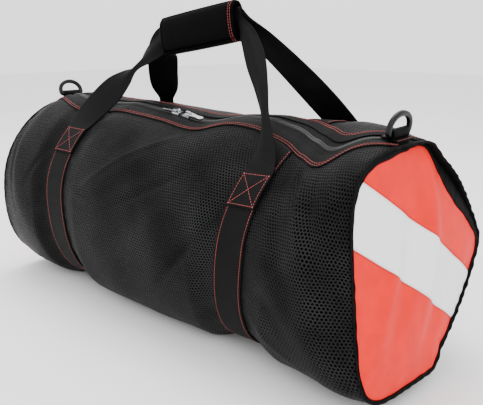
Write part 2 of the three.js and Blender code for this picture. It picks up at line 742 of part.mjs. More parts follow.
function addRing(end, label) {
  const x = end * (HALF - tabInset);
  const place = onZip(x, 0, true);
  const toPlace = place.matrix.clone().invert();
  let under = 0;
  for (let away = -2 * tabFoot; away <= 2 * tabFoot; away += tabFoot / 6) {
    for (const arc of [coilHalfWidth, zipHalfSlot - facingOverhang, zipHalfSlot]) {
      for (const side of [-1, 1]) {
        const near = clamp(x + away, 1 - HALF, HALF - 1);
        const point = zipPlace(near, side * arc, clothGap + facingThickness).point.applyMatrix4(toPlace);
        if (Math.abs(point.x) < tabFoot + clothGap) under = Math.max(under, point.z);
      }
    }
  }
  place.translateZ(under + clothGap);
  add(`ring_tab_${label}`, ringTab(), webbingBlack(), place);
  add(`d_ring_${label}`, mouldedRing().translate(0, 0, tabRise), ringPlastic(), place);
}

// Heights over the tape of a slider's plate and of the bar of its pull
const plateTop = coilAbove + sliderSlack + sliderPlate;
const barRise = plateTop + (bailRise - bailThickness) / 2;

// A slider rides over the coil with a flange at each side and carries a bail on its plate
function slider() {
  const half = sliderWidth / 2;
  const inner = coilHalfWidth + sliderSlack;
  const profile = new THREE.Shape();
  profile.moveTo(-half, clothGap);
  profile.lineTo(-inner, clothGap);
  profile.lineTo(-inner, plateTop - sliderPlate);
  profile.lineTo(inner, plateTop - sliderPlate);
  profile.lineTo(inner, clothGap);
  profile.lineTo(half, clothGap);
  profile.lineTo(half - sliderPlate / 2, plateTop);
  profile.lineTo(sliderPlate / 2 - half, plateTop);
  profile.closePath();
  const body = thickened(profile, sliderLength).rotateX(Math.PI / 2).rotateZ(Math.PI / 2);
  const arch = new THREE.Shape();
  const sunk = sliderPlate / 2;
  arch.moveTo(-bailLength / 2, -sunk);
  arch.lineTo(bailLength / 2, -sunk);
  arch.lineTo(bailLength / 2, bailRise * 0.55);
  arch.lineTo(bailLength / 2 - bailThickness, bailRise);
  arch.lineTo(bailThickness - bailLength / 2, bailRise);
  arch.lineTo(-bailLength / 2, bailRise * 0.55);
  arch.closePath();
  const opening = new THREE.Path();
  const inside = bailLength / 2 - bailThickness;
  opening.moveTo(-inside, 0);
  opening.lineTo(-inside, bailRise - bailThickness);
  opening.lineTo(inside, bailRise - bailThickness);
  opening.lineTo(inside, 0);
  opening.closePath();
  arch.holes.push(opening);
  const bail = thickened(arch, bailWidth).rotateX(Math.PI / 2).translate(0, 0, plateTop);
  return fromManifold(toManifold(body).add(toManifold(bail)));
}

// A pull tab whose end bar passes under the bail; its arms pass each side of it
function pull() {
  const half = pullWidth / 2;
  const window = {
    from: pullBar / 2,
    to: bailLength / 2 + 2 * bailThickness + pullSlack,
    half: bailWidth / 2 + pullSlack,
  };
  const shape = new THREE.Shape();
  shape.moveTo(-pullBar / 2, -half);
  shape.lineTo(window.to, -half);
  shape.lineTo(pullLength * 0.6, -half * 0.72);
  shape.absarc(pullLength - half, 0, half * 0.95, -Math.PI / 2, Math.PI / 2, false);
  shape.lineTo(pullLength * 0.6, half * 0.72);
  shape.lineTo(window.to, half);
  shape.lineTo(-pullBar / 2, half);
  shape.closePath();
  const slot = new THREE.Path();
  slot.moveTo(window.from, -window.half);
  slot.lineTo(window.from, window.half);
  slot.lineTo(window.to, window.half);
  slot.lineTo(window.to, -window.half);
  slot.closePath();
  shape.holes.push(slot);
  return thickened(shape, pullThickness, pullThickness / 5).rotateY(pullDroop * DEG);
}

function addSlider(side, label) {
  const place = onZip(sliderMeeting + side * sliderOffset, 0);
  if (side < 0) place.rotateZ(Math.PI);
  add(`zip_slider_${label}`, slider(), zipMetal(), place);
  add(`zip_pull_${label}`, pull().translate(0, 0, barRise), zipMetal(), place);
}

add('net_barrel', netBarrel(), netBlack());
addZipSide(1, 'front');
addZipSide(-1, 'back');
add('zip_coil', zipStrip([-coilHalfWidth, 0, coilHalfWidth], -coilBelow, coilAbove), tapeBlack());
add('belt_left', belt(-1), webbingBlack());
add('belt_right', belt(1), webbingBlack());
addEnd(-1, 'left');
addEnd(1, 'right');
add('grip_wrap', padGrip(), gripBlack());
add('handle_front', handle(1, frontLeftLeg, frontRightLeg), webbingBlack());
add('handle_back', handle(-1, backLeftLeg, backRightLeg), webbingBlack());
addRing(-1, 'left');
addRing(1, 'right');
addSlider(-1, 'left');
addSlider(1, 'right');

// The bag stands on its own origin: the middle of the foot of its bounding box
const box = new THREE.Box3().setFromObject(bag, true);
bag.position.set(-(box.min.x + box.max.x) / 2, -(box.min.y + box.max.y) / 2, -box.min.z);

export default bag;
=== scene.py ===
"""Mesh dive gear bag: fine cloth, webbing, stitching, zip and rings over the packed model.

Laid out as a Blender add-on and run as a script. Lengths are in metres in the bag's own frame: +X along
the bag, +Y to the back, +Z up. The shape of the cloth is worked out by the same rules as the solids'.
"""

import json
import math

import bpy
import numpy as np
from bpy.props import FloatProperty, FloatVectorProperty, IntProperty, PointerProperty
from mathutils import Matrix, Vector


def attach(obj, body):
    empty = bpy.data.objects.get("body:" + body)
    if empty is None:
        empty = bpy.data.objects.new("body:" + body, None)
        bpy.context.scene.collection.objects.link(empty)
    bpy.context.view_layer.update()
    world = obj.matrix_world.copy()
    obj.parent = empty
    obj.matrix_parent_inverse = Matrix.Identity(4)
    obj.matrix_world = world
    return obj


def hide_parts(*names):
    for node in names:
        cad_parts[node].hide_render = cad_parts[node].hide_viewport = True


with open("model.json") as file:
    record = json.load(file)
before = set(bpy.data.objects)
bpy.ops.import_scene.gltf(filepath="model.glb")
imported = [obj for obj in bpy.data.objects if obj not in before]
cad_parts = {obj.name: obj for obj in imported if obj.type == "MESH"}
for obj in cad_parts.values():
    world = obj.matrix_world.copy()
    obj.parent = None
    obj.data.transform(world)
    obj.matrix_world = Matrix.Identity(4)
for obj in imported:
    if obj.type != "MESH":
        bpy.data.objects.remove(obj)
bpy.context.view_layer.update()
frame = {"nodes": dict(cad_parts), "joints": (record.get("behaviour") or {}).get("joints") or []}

bl_info = {
    "name": "Mesh dive gear bag",
    "version": (1, 0, 0),
    "blender": (4, 5, 0),
    "location": "3D View > Sidebar > Dive bag",
    "description": "Builds a net duffel bag with its webbing, zip, stitching and flag ends",
    "category": "Add Mesh",
}

MM = 0.001
DEG = math.pi / 180

# Sewn barrel of net
BAG_LENGTH = 760 * MM
HALF = BAG_LENGTH / 2
BODY_HALF_WIDTH = 146 * MM
BODY_HEIGHT = 316 * MM
NET_WALL = 1.6 * MM
CLOTH_GAP = 0.3 * MM
FRAME_SHIFT = np.array([-0.05, 0.45, 0.0]) * MM

# Webbing of the belts and the handles
WEBBING_WIDTH = 50 * MM
WEBBING_THICKNESS = 1.9 * MM
BELT_SPACING = 396 * MM
BELT_PINCH = 9 * MM
BELT_PINCH_AT_CROWN = 3.6 * MM
BELT_BLEND = 42 * MM

# Zip
ZIP_HALF_SLOT = 17 * MM
ZIP_TAPE_THICKNESS = 1.1 * MM
COIL_HALF_WIDTH = 3.6 * MM
COIL_ABOVE = 1.6 * MM
COIL_BELOW = 1.4 * MM
FACING_FROM = 13 * MM
FACING_WIDTH = 21 * MM
FACING_REACH = FACING_FROM + FACING_WIDTH
FACING_THICKNESS = 1.3 * MM

# End panels
PANEL_THICKNESS = 1.5 * MM
PANEL_DOME = 13 * MM
STRIPE_WIDTH = 68 * MM
STRIPE_HEADING = 33.5
BINDING_PROUD = 0.9 * MM
BINDING_INSIDE = 0.8 * MM
BINDING_WIDTH = 11 * MM

# Handles and grip
FOOT_LENGTH = 47 * MM
LEG_LIFT = 0.2
GRIP_LENGTH = 160 * MM
GRIP_HEIGHT = 56 * MM
GRIP_THICKNESS = 26 * MM
GRIP_SLOT_HEIGHT = 43 * MM
GRIP_SLOT_THICKNESS = 8 * MM
GRIP_MOUTH_FLARE = 10 * MM
GRIP_HOLD = 4 * MM
GRIP_FLAP = 1.6 * MM
GRIP_FLAP_TURN = 18
GRIP_PITCH = 8.4
GRIP_X = 3 * MM
GRIP_RISE = 430 * MM
STRAPS_APART = 1.4 * MM
GATHERED = 0.78

# Rings and their tabs
RING_WIDTH = 47 * MM
RING_HEIGHT = 28 * MM
RING_BAND = 5.4 * MM
RING_SWELL = 1.5 * MM
RING_DEPTH = 4.6 * MM
TAB_WIDTH = 32 * MM
TAB_THICKNESS = 2.2 * MM
TAB_FOOT = 12 * MM
TAB_RISE = 7 * MM
TAB_BORE_SLACK = 1 * MM

# How the zip climbs along the bag under each ring, in degrees
RING_SLOPES = {"left": 19.46, "right": -10.38}

# Relief of the net: its slack, how deep its creases are, and where it starts beside the zip
NET_SLACK = 0.7 * MM
CREASE_DEPTH = 1.5
NET_EDGE = ZIP_HALF_SLOT + 1 * MM
NET_TUCKED = FACING_WIDTH - 2 * MM
NET_FREE_WITHIN = 14 * MM
STRAND_SHARE = 0.8

# Relief of the panels: a seam's dip, how far it spreads, and the slack of the cloth
SEAM_DIP = 0.7 * MM
SEAM_SPREAD = 2.5 * MM
PANEL_SLACK = 0.8 * MM
PANEL_RIM = 0.09
PANEL_CLOTH_SHARE = 0.6

# Relief of the grip
GRIP_END = 6 * MM
GRIP_ROUNDING = 3.2 * MM
GRIP_CROWN = 1.2 * MM
GRIP_CREASE = dict(turn=128, depth=1.6 * MM, spread=7)
GRIP_DIMPLE = dict(turn=300, depth=0.8 * MM, spread=12)
GRIP_HEM = dict(at=0.9, depth=0.7 * MM, spread=0.02)

# Sewing: rows of stitches as lengths or shares, and how far each kind stands over its cloth
ZIP_STITCH_LIFT = 0.45 * MM
BELT_STITCH_LIFT = 0.12 * MM
STITCH_LIFT = 0.15 * MM
SEAM_STITCH_LIFT = 0.1 * MM
GRIP_STITCH_SUNK = -0.25 * MM
SEAM_ROW = 1.6 * MM
FACING_ROWS = (2.4 * MM, 6 * MM)
BELT_ROW = 0.86
FOOT_ROW = 0.86
FOOT_MARGIN = 0.06
GRIP_ROWS = (0.89, 0.945)
TAB_ROW = 0.83

# Gathers of the net beside a seam or a belt, and puckers of a panel
PANEL_PUCKERS = dict(height=0.9 * MM, wave=4.2 * MM, sway=2, drift=19 * MM)
SEAM_RUCKS = dict(height=1.1 * MM, wave=3.1 * MM, sway=3, drift=21 * MM, start=9 * MM, fade=13 * MM)
BELT_RUCKS = dict(height=0.9 * MM, wave=4.3 * MM, sway=2, drift=33 * MM, start=5 * MM, fade=12 * MM)

# Looks of the net, in shares of its pitch: the soft edge of a hole, and its rim, which rounds the strands in
# the bump and is painted dark as shade
HOLE_EDGE = 0.03
SHADED_RIM_START = 0.14
SHADED_RIM_END = 0.28
HOLE_CLOSED = 0.7

# Lines round the barrel that the belts' feet are counted on
GIRTH_SPANS = 34
LINE_ARC = 2 * math.pi * BODY_HALF_WIDTH / GIRTH_SPANS


def table(columns, *rows):
    """A table as a list of rows, each a dict of its named columns"""
    return [dict(zip(columns.split(), row)) for row in rows]


# Sections of the barrel, as shares of the half length, BODY_HALF_WIDTH and BODY_HEIGHT
SECTIONS = table(
    "at front back foot crown shoulder belly hind lean skew",
    (-1.0, 0.92, 0.92, 0.02, 0.96, 2.0, 2.4, 2.1, 0.1, -0.06),
    (-0.86, 0.98, 0.98, 0.0, 1.005, 1.9, 2.5, 2.3, 0.05, -0.04),
    (-0.52, 1.0, 1.0, -0.01, 1.01, 1.8, 2.5, 2.3, 0.03, 0),
    (-0.2, 1.0, 1.0, -0.015, 1.0, 1.85, 2.6, 2.3, 0.03, 0),
    (0.15, 1.0, 1.0, -0.015, 0.985, 1.85, 2.6, 2.3, 0.1, 0),
    (0.52, 1.0, 1.0, -0.01, 1.01, 1.8, 2.5, 2.1, 0.18, 0),
    (0.83, 1.05, 1.05, 0.0, 1.005, 2.2, 2.8, 1.8, 0.02, 0),
    (1.0, 0.94, 1.03, 0.06, 0.965, 3.6, 5.5, 1.3, -0.1, 0),
)

# Line of the zip: degrees from straight up towards the front, and how far the crown sinks along it
ZIP_LINE = table(
    "at turn sag",
    (-1.0, -3, 0.0),
    (-0.85, 3, 0.0),
    (-0.65, 11, 0.0),
    (-0.42, 7, 0.005),
    (-0.1, 8, 0.015),
    (0.1, 10, 0.02),
    (0.22, 4, 0.0),
    (0.38, 7, 0.0),
    (0.52, 13, 0.005),
    (0.66, 22, 0.01),
    (0.78, 27, 0.015),
    (0.88, 18, 0.005),
    (1.0, 5, 0.0),
)

# Folds and bulges of the stuffed net, lengths as shares of BODY_HALF_WIDTH
FOLDS = table(
    "at turn heading run across depth",
    (-0.12, 58, -35, 0.6, 0.13, 0.035),
    (0.02, 82, -40, 0.6, 0.16, -0.03),
    (0.7, 62, 62, 0.5, 0.13, -0.045),
    (0.84, 86, 72, 0.5, 0.14, 0.03),
    (0.68, 104, 42, 0.5, 0.13, -0.035),
    (-0.78, 100, 60, 0.5, 0.2, 0.02),
    (0.18, 112, -20, 0.6, 0.24, 0.02),
    (-0.3, 285, 25, 0.7, 0.2, 0.03),
    (0.3, 262, -30, 0.6, 0.16, -0.03),
    (0.8, 290, 60, 0.5, 0.14, -0.03),
)

# Finer creases that only the cloth itself has, in the same terms
CREASES = table(
    "at turn heading run across depth",
    (-0.1, 50, -38, 0.55, 0.035, 0.014),
    (0.06, 66, -30, 0.4, 0.04, -0.012),
    (0.3, 96, -48, 0.35, 0.05, -0.014),
    (0.72, 48, 70, 0.3, 0.035, -0.014),
    (0.79, 58, 66, 0.4, 0.04, 0.014),
    (0.86, 66, 74, 0.35, 0.035, -0.012),
    (0.93, 80, 80, 0.4, 0.04, 0.01),
    (0.66, 120, 38, 0.35, 0.045, 0.012),
    (-0.36, 76, 14, 0.3, 0.05, 0.01),
    (-0.66, 62, -55, 0.3, 0.045, -0.01),
    (-0.9, 70, 78, 0.4, 0.05, -0.01),
    (-0.1, 300, 30, 0.5, 0.05, 0.012),
    (0.76, 306, -66, 0.35, 0.04, -0.014),
    (-0.75, 296, 58, 0.35, 0.05, 0.012),
)

# Folds of an end panel, as shares of BODY_HALF_WIDTH about its middle
PANEL_FOLDS = table(
    "y z heading run across depth",
    (0.12, 0.4, 78, 0.7, 0.1, 0.05),
    (-0.3, 0.1, 72, 0.5, 0.12, -0.05),
    (-0.55, -0.15, 64, 0.45, 0.12, 0.05),
    (0.2, -0.4, 55, 0.45, 0.14, -0.045),
)

# How far an end binding stands along the bag, by the degrees round its seam
BINDING_TURNS = table(
    "at stand",
    (0, 0.8),
    (50, 0.2),
    (240, 0.2),
    (285, 0.35),
    (325, 1.0),
    (360, 0.8),
)

# How far the black edging laps over a panel, in millimetres, by the degrees round its hub
LAPS = {
    -1: table(
        "at width",
        (0, 7), (90, 4), (200, 4), (300, 8), (360, 7),
    ),
    1: table(
        "at width",
        (0, 2), (24, 8), (50, 2.5), (215, 2.5), (262, 4), (284, 14), (306, 22), (328, 18), (348, 7),
        (360, 2),
    ),
}

# Section of that edging: shares of its width inwards, and how far it stands over the panel, in LAP_STAND
LAP_STAND = 1.3 * MM
LAP_SECTION = table(
    "inwards over",
    (0, 1), (0.12, 1.1), (0.3, 1.25), (0.5, 1.3), (0.7, 1.2), (0.85, 1), (0.96, 0.8), (1, 0.3), (1, 0),
    (0.96, -0.1), (0.7, -0.1), (0.4, -0.1), (0, -0.1),
)

# Legs of the handles, from foot (0) to grip (1)
LEGS = {
    ("front", -1): dict(
        foot_top=37, rise=0.12, reach=0.12, drop=0.07,
        rows=table(
            "at roll gather",
            (0, 0, 1), (0.25, 14, 1), (0.44, 12, 0.96), (0.55, -4, 0.66), (0.63, -30, 0.3),
            (0.73, -16, 0.6), (0.84, -2, 0.66), (0.92, 0, 0.56), (1, 0, GATHERED),
        ),
    ),
    ("front", 1): dict(
        foot_top=45, rise=0.2, reach=0.13, drop=0.05,
        rows=table(
            "at roll gather",
            (0, 0, 1), (0.1, 4, 0.86), (0.21, 15, 0.58), (0.33, 28, 0.38), (0.46, 14, 0.5),
            (0.62, -8, 0.62), (0.8, -8, 0.52), (0.92, 0, 0.4), (1, 0, GATHERED),
        ),
    ),
    ("back", -1): dict(
        foot_top=44, rise=0.18, reach=0.12, drop=0.05,
        rows=table(
            "at roll gather",
            (0, 0, 1), (0.14, -6, 0.85), (0.28, -22, 0.5), (0.4, -34, 0.9), (0.58, -36, 1),
            (0.75, -34, 1), (0.9, -12, 0.92), (1, 0, GATHERED),
        ),
    ),
    ("back", 1): dict(
        foot_top=44, rise=0.05, reach=0.17, drop=0.06,
        rows=table(
            "at roll gather",
            (0, 0, 1), (0.4, 8, 0.95), (0.75, 0, 0.7), (0.9, 0, 0.56), (1, 0, GATHERED),
        ),
    ),
}

# The photograph's camera and frame
IMAGE_WIDTH = 483
FOCAL_PIXELS = 685.4
CAMERA_PLACE = (0.7634, -0.6977, 0.4269)
CAMERA_AZIMUTH = 44.1
CAMERA_ELEVATION = 14.0

# Soft lights, the light of the room, and the floor
LIGHTS = table(
    "name place target size power",
    ("key", (1.7, -1.5, 1.7), (0.1, 0, 0.15), 1.2, 30),
    ("top", (-0.5, 0.3, 2.2), (0, 0, 0.2), 1.6, 45),
    ("left", (-1.9, -1.4, 1.0), (-0.2, 0, 0.2), 1.2, 8),
)
ROOM_LIGHT = 1.9
FLOOR_REACH = 6.0


def length_setting(name, description, millimetres):
    return FloatProperty(name=name, description=description, default=millimetres * MM, unit="LENGTH")


def colour_setting(name, description, colour):
    return FloatVectorProperty(name=name, description=description, subtype="COLOR", default=colour)


class DiveBagSizes(bpy.types.PropertyGroup):
    """Fine sizes of the cloth and its sewing"""

    net_pitch: length_setting("Net pitch", "From hole to hole of the net", 4.3)
    net_hole: FloatProperty(name="Net hole", description="Radius as a share of the pitch", default=0.16)
    stitch_pitch: length_setting("Stitch pitch", "From stitch to stitch", 3.7)
    stitch_length: length_setting("Stitch length", "Visible length of one stitch", 2.8)
    thread_width: length_setting("Thread", "Width of the sewing thread", 0.75)
    tooth_pitch: length_setting("Zip pitch", "From tooth to tooth of the coil", 1.9)
    net_stations: IntProperty(name="Net steps", description="Steps of the net along the bag", default=200)
    net_turns: IntProperty(name="Net turns", description="Steps of the net round the bag", default=230)


class DiveBagColours(bpy.types.PropertyGroup):
    """Colours of the cloth, thread and trim"""

    net: colour_setting("Net", "Strands of the net", (0.0055, 0.0055, 0.0057))
    webbing: colour_setting("Webbing", "Belts and handles", (0.0018, 0.0018, 0.002))
    tape: colour_setting("Tape", "Zip tapes and facings", (0.0019, 0.0019, 0.0021))
    red: colour_setting("Red", "Red cloth of the ends", (0.78, 0.008, 0.005))
    white: colour_setting("White", "White stripe", (0.86, 0.87, 0.88))
    thread: colour_setting("Thread", "Sewing thread", (0.4, 0.06, 0.05))
    grip: colour_setting("Grip", "Padded grip", (0.0006, 0.0006, 0.0007))
    plastic: colour_setting("Plastic", "Rings", (0.0015, 0.0015, 0.0017))
    metal: colour_setting("Metal", "Sliders and pulls", (0.62, 0.63, 0.65))


# Shape rules shared with the solids


def ease(share):
    return share * share * (3 - 2 * share)


def bell(distance):
    return np.exp(-distance * distance)


def mix(start, end, share):
    return start + (end - start) * share


def around(turn):
    return (np.asarray(turn) + 180) % 360 - 180


def read(rows, column, at):
    """The value of a column at places along a table, on a smooth curve through its rows"""
    at = np.asarray(at, float)
    places = np.array([row["at"] for row in rows], float)
    values = np.array([row[column] for row in rows], float)
    last = len(rows) - 1
    before = np.clip(np.arange(last + 1) - 1, 0, last)
    after = np.clip(np.arange(last + 1) + 1, 0, last)
    slopes = (values[after] - values[before]) / (places[after] - places[before])
    i = np.clip(np.searchsorted(places, at, side="left") - 1, 0, last - 1)
    span = places[i + 1] - places[i]
    t = np.clip((at - places[i]) / span, 0, 1)
    start = values[i] * (1 + 2 * t) * (1 - t) ** 2 + slopes[i] * span * t * (1 - t) ** 2
    return start + values[i + 1] * t * t * (3 - 2 * t) - slopes[i + 1] * span * t * t * (1 - t)


def beyond_belt(x):
    """How far a place lies outside the edges of the nearest belt"""
    return np.abs(np.abs(x) - BELT_SPACING / 2) - WEBBING_WIDTH / 2


def under_belt(x):
    """1 under a belt, 0 away from it"""
    return 1 - ease(np.clip(beyond_belt(x) / BELT_BLEND, 0, 1))


def pushed(rows, at, turn):
    """How far a table of folds pushes the cloth out"""
    depth = 0
    for fold in rows:
        along = (at - fold["at"]) * HALF
        girth = around(turn - fold["turn"]) * DEG * BODY_HALF_WIDTH
        c = math.cos(fold["heading"] * DEG)
        s = math.sin(fold["heading"] * DEG)
        run = (along * c + girth * s) / (fold["run"] * BODY_HALF_WIDTH)
        across = (girth * c - along * s) / (fold["across"] * BODY_HALF_WIDTH)
        depth = depth + fold["depth"] * BODY_HALF_WIDTH * bell(run) * bell(across)
    return depth


def fold_depth(at, turn):
    from_zip = around(turn - read(ZIP_LINE, "turn", at)) * DEG * BODY_HALF_WIDTH / (2.2 * ZIP_HALF_SLOT)
    depth = pushed(FOLDS, at, turn) * (1 - 0.7 * under_belt(at * HALF))
    return depth - read(ZIP_LINE, "sag", at) * BODY_HEIGHT * bell(from_zip)


def barrel(at, turn):
    """Points of the barrel's outer face: at is the share along it, turn the degrees towards the front"""
    at, turn = np.broadcast_arrays(np.asarray(at, float), np.asarray(turn, float))
    foot = read(SECTIONS, "foot", at) * BODY_HEIGHT
    crown = read(SECTIONS, "crown", at) * BODY_HEIGHT
    middle = (foot + crown) / 2
    side = np.sin(turn * DEG)
    up = np.cos(turn * DEG)
    hindward = ease(np.clip(0.5 - 1.4 * side, 0, 1))
    width = mix(read(SECTIONS, "front", at), read(SECTIONS, "back", at), hindward) * BODY_HALF_WIDTH
    fore = mix(read(SECTIONS, "belly", at), read(SECTIONS, "shoulder", at), ease((1 + up) / 2))
    power = mix(fore, read(SECTIONS, "hind", at), hindward)
    reach = (np.abs(side / width) ** power + np.abs(2 * up / (crown - foot)) ** power) ** (-1 / power)
    pinch = under_belt(at * HALF) * (BELT_PINCH - (BELT_PINCH - BELT_PINCH_AT_CROWN) * up)
    stand = reach + fold_depth(at, turn) - pinch
    lift = under_belt(at * HALF) * (WEBBING_THICKNESS + CLOTH_GAP)
    y = -stand * side
    z = np.maximum(middle + stand * up, lift)
    x = at * HALF + read(SECTIONS, "lean", at) * (z - middle) + read(SECTIONS, "skew", at) * y
    return np.stack([x, y, z], axis=-1) + FRAME_SHIFT


def unit(vectors):
    return vectors / np.linalg.norm(vectors, axis=-1, keepdims=True)


def on_barrel(at, turn, height=0.0):
    """Points that stand off the barrel, with the face's normals and the ways round it"""
    at, turn = np.broadcast_arrays(np.asarray(at, float), np.asarray(turn, float))
    step = 0.002
    near = np.clip(at, -1 + step, 1 - step)
    along = unit(barrel(near + step, turn) - barrel(near - step, turn))
    girth = unit(barrel(near, turn + 1) - barrel(near, turn - 1))
    normal = unit(np.cross(girth, along))
    return barrel(at, turn) + normal * np.asarray(height)[..., None], normal, girth


def zip_turn(at, arc=0.0):
    middle = read(ZIP_LINE, "turn", at)
    degree = np.linalg.norm(barrel(at, middle + 2) - barrel(at, middle - 2), axis=-1) / 4
    return middle + arc / degree


def belt_at(side, edge):
    return (side * BELT_SPACING + edge * WEBBING_WIDTH) / 2 / HALF


def girth_turn(at, line):
    """The turn of a numbered line round the barrel, between the outer edges of the facings"""
    edge = FACING_REACH
    first = zip_turn(at, edge)
    last = zip_turn(at, -edge) + 360
    return mix(first, last, (line - 1) / (GIRTH_SPANS - 2))


def line_at_turn(at, turn):
    first = girth_turn(at, 1)
    return 1 + (turn - first) / (girth_turn(at, GIRTH_SPANS - 1) - first) * (GIRTH_SPANS - 2)


def in_grip(x, y, z):
    """From the grip's own directions (along it, to the back, up) to the bag's"""
    c = math.cos(GRIP_PITCH * DEG)
    s = math.sin(GRIP_PITCH * DEG)
    x, y, z = np.broadcast_arrays(np.asarray(x, float), np.asarray(y, float), np.asarray(z, float))
    points = np.stack([x * c - z * s + GRIP_X, y, x * s + z * c + GRIP_RISE], axis=-1)
    return points + FRAME_SHIFT


# Mesh making


def placed(name, data):
    """A new object in the scene"""
    made = bpy.data.objects.new(name, data)
    bpy.context.scene.collection.objects.link(made)
    return made


def skin(name, points, cloth, round_section=False, round_path=False, inside=(0, 0, BODY_HEIGHT / 2)):
    """A smooth mesh over a grid of points (along, across). cloth holds each corner's place on the flat
    cloth, in metres, with one more column or row where the grid closes on itself. A closed section
    that doesn't close along its path gets flat ends. Faces are turned away from the point inside."""
    rows, columns = points.shape[:2]
    i, j = np.meshgrid(
        np.arange(rows if round_path else rows - 1),
        np.arange(columns if round_section else columns - 1),
        indexing="ij",
    )
    i, j = i.ravel(), j.ravel()
    next_i, next_j = (i + 1) % rows, (j + 1) % columns
    here, there = i * columns, next_i * columns
    quads = np.stack([here + j, there + j, there + next_j, here + next_j], 1)
    corners = np.stack([cloth[i, j], cloth[i + 1, j], cloth[i + 1, j + 1], cloth[i, j + 1]], 1)
    flat = points.reshape(-1, 3)
    p = flat[quads]
    areas = np.cross(p[:, 2] - p[:, 0], p[:, 3] - p[:, 1])
    turned = (areas * (p.mean(1) - np.array(inside))).sum() < 0
    if turned:
        quads = quads[:, ::-1]
        corners = corners[:, ::-1]
    faces = quads.tolist()
    uvs = corners.reshape(-1, 2).tolist()
    if round_section and not round_path:
        for row, flip in ((0, turned), (rows - 1, not turned)):
            ring = list(range(row * columns, (row + 1) * columns))
            places = cloth[row, :columns].tolist()
            faces.append(ring[::-1] if flip else ring)
            uvs.extend(places[::-1] if flip else places)
    mesh = bpy.data.meshes.new(name)
    mesh.from_pydata(flat.tolist(), [], faces)
    layer = mesh.uv_layers.new(name="Cloth")
    layer.data.foreach_set("uv", np.array(uvs, "f").ravel())
    mesh.polygons.foreach_set("use_smooth", np.ones(len(mesh.polygons), bool))
    mesh.update()
    return placed(name, mesh)


def strip_section(low, high, from_, to, rounding=0.4 * MM, columns=6):
    """A closed section of a flat strip as (across, height) pairs, with eased corners"""
    ease_in = min(rounding, (high - low) / 2)
    across = np.linspace(from_ + ease_in, to - ease_in, columns)
    top = [(a, high) for a in across]
    bottom = [(a, low) for a in across[::-1]]
    right = [(to, high - ease_in), (to, low + ease_in)]
    left = [(from_, low + ease_in), (from_, high - ease_in)]
    return np.array(top + right + bottom + left)


def section_lengths(section):
    """How far round a closed section each of its points lies, and the way back to the first"""
    return run_lengths(np.vstack([section, section[:1]]))


def flat_places(along, lengths):
    """Places on the flat cloth for a grid of distances along and lengths across"""
    u, v = np.meshgrid(along, lengths, indexing="ij")
    return np.stack([u, v], axis=-1)


def run_lengths(path):
    return np.concatenate([[0], np.cumsum(np.linalg.norm(np.diff(path, axis=0), axis=1))])


def closed_run(points):
    """How far along a grid each row lies, and the way back to the first"""
    return section_lengths(points[:, 0])


# Materials


class Value:
    """A socket of a material. Arithmetic on it adds Math nodes."""

    def __init__(self, finish, socket):
        self.finish = finish
        self.socket = socket

    def maths(self, operation, *others):
        return self.finish.node("ShaderNodeMath", {"operation": operation}, dict(enumerate((self, *others))))

    def __add__(self, other):
        return self.maths("ADD", other)

    def __sub__(self, other):
        return self.maths("SUBTRACT", other)

    def __mul__(self, other):
        return self.maths("MULTIPLY", other)

    def __truediv__(self, other):
        return self.maths("DIVIDE", other)

    def __pow__(self, other):
        return self.maths("POWER", other)

    def wave(self):
        """A wave from 0 to 1, once for each unit"""
        return (self * (2 * math.pi)).maths("SINE") * 0.5 + 0.5

    def part(self):
        """The part of a unit, from -0.5 to 0.5"""
        return self.maths("FRACT") - 0.5

    def least(self, other):
        return self.maths("MINIMUM", other)

    def between(self, low, high):
        """0 below low, 1 above high, smooth between"""
        settings = {"interpolation_type": "SMOOTHSTEP"}
        return self.finish.node("ShaderNodeMapRange", settings, {0: self, 1: low, 2: high, 3: 0.0, 4: 1.0})


class Finish:
    """One material and the nodes in it"""

    def __init__(self, name):
        self.material = bpy.data.materials.new(name)
        self.material.use_nodes = True
        self.tree = self.material.node_tree
        self.tree.nodes.clear()

    def node(self, kind, settings=None, sockets=None, output=0):
        """Adds a node: its settings first, then values or links for its sockets"""
        made = self.tree.nodes.new(kind)
        for key, setting in (settings or {}).items():
            setattr(made, key, setting)
        for key, value in (sockets or {}).items():
            socket = made.inputs[key]
            if isinstance(value, Value):
                self.tree.links.new(value.socket, socket)
            elif socket.type == "RGBA":
                socket.default_value = (*value, 1)
            else:
                socket.default_value = value
        return Value(self, made.outputs[output])

    def cloth(self):
        """Places on the flat cloth, in metres: along it and across it"""
        place = self.node("ShaderNodeUVMap", {"uv_map": "Cloth"})
        along = self.node("ShaderNodeSeparateXYZ", {}, {0: place})
        across = self.node("ShaderNodeSeparateXYZ", {}, {0: place}, output=1)
        return place, along, across

    def object_place(self):
        return self.node("ShaderNodeTexCoord", output=3)

    def noise(self, place, size, detail=2.0, roughness=0.5):
        """Noise from 0 to 1 with features of about the given size in metres"""
        sockets = {"Vector": place, "Scale": 1 / size, "Detail": detail, "Roughness": roughness}
        return self.node("ShaderNodeTexNoise", {}, sockets)

    def tint(self, factor, low, high):
        """A colour between two, by a factor"""
        settings = {"data_type": "RGBA"}
        return self.node("ShaderNodeMix", settings, {0: factor, 6: low, 7: high}, output=2)

    def bump(self, height, distance, strength=1.0, normal=None):
        sockets = {"Strength": strength, "Distance": distance, "Height": height}
        if normal is not None:
            sockets["Normal"] = normal
        return self.node("ShaderNodeBump", {}, sockets)

    def finished(self, **sockets):
        """Ends the material in a Principled shader"""
        names = {key.replace("_", " "): value for key, value in sockets.items()}
        shader = self.node("ShaderNodeBsdfPrincipled", {}, names)
        out = self.tree.nodes.new("ShaderNodeOutputMaterial")
        self.tree.links.new(shader.socket, out.inputs[0])
        return self.material


def shade(colour, factor):
    """A colour made lighter or darker"""
    return tuple(min(1.0, c * factor) for c in colour)


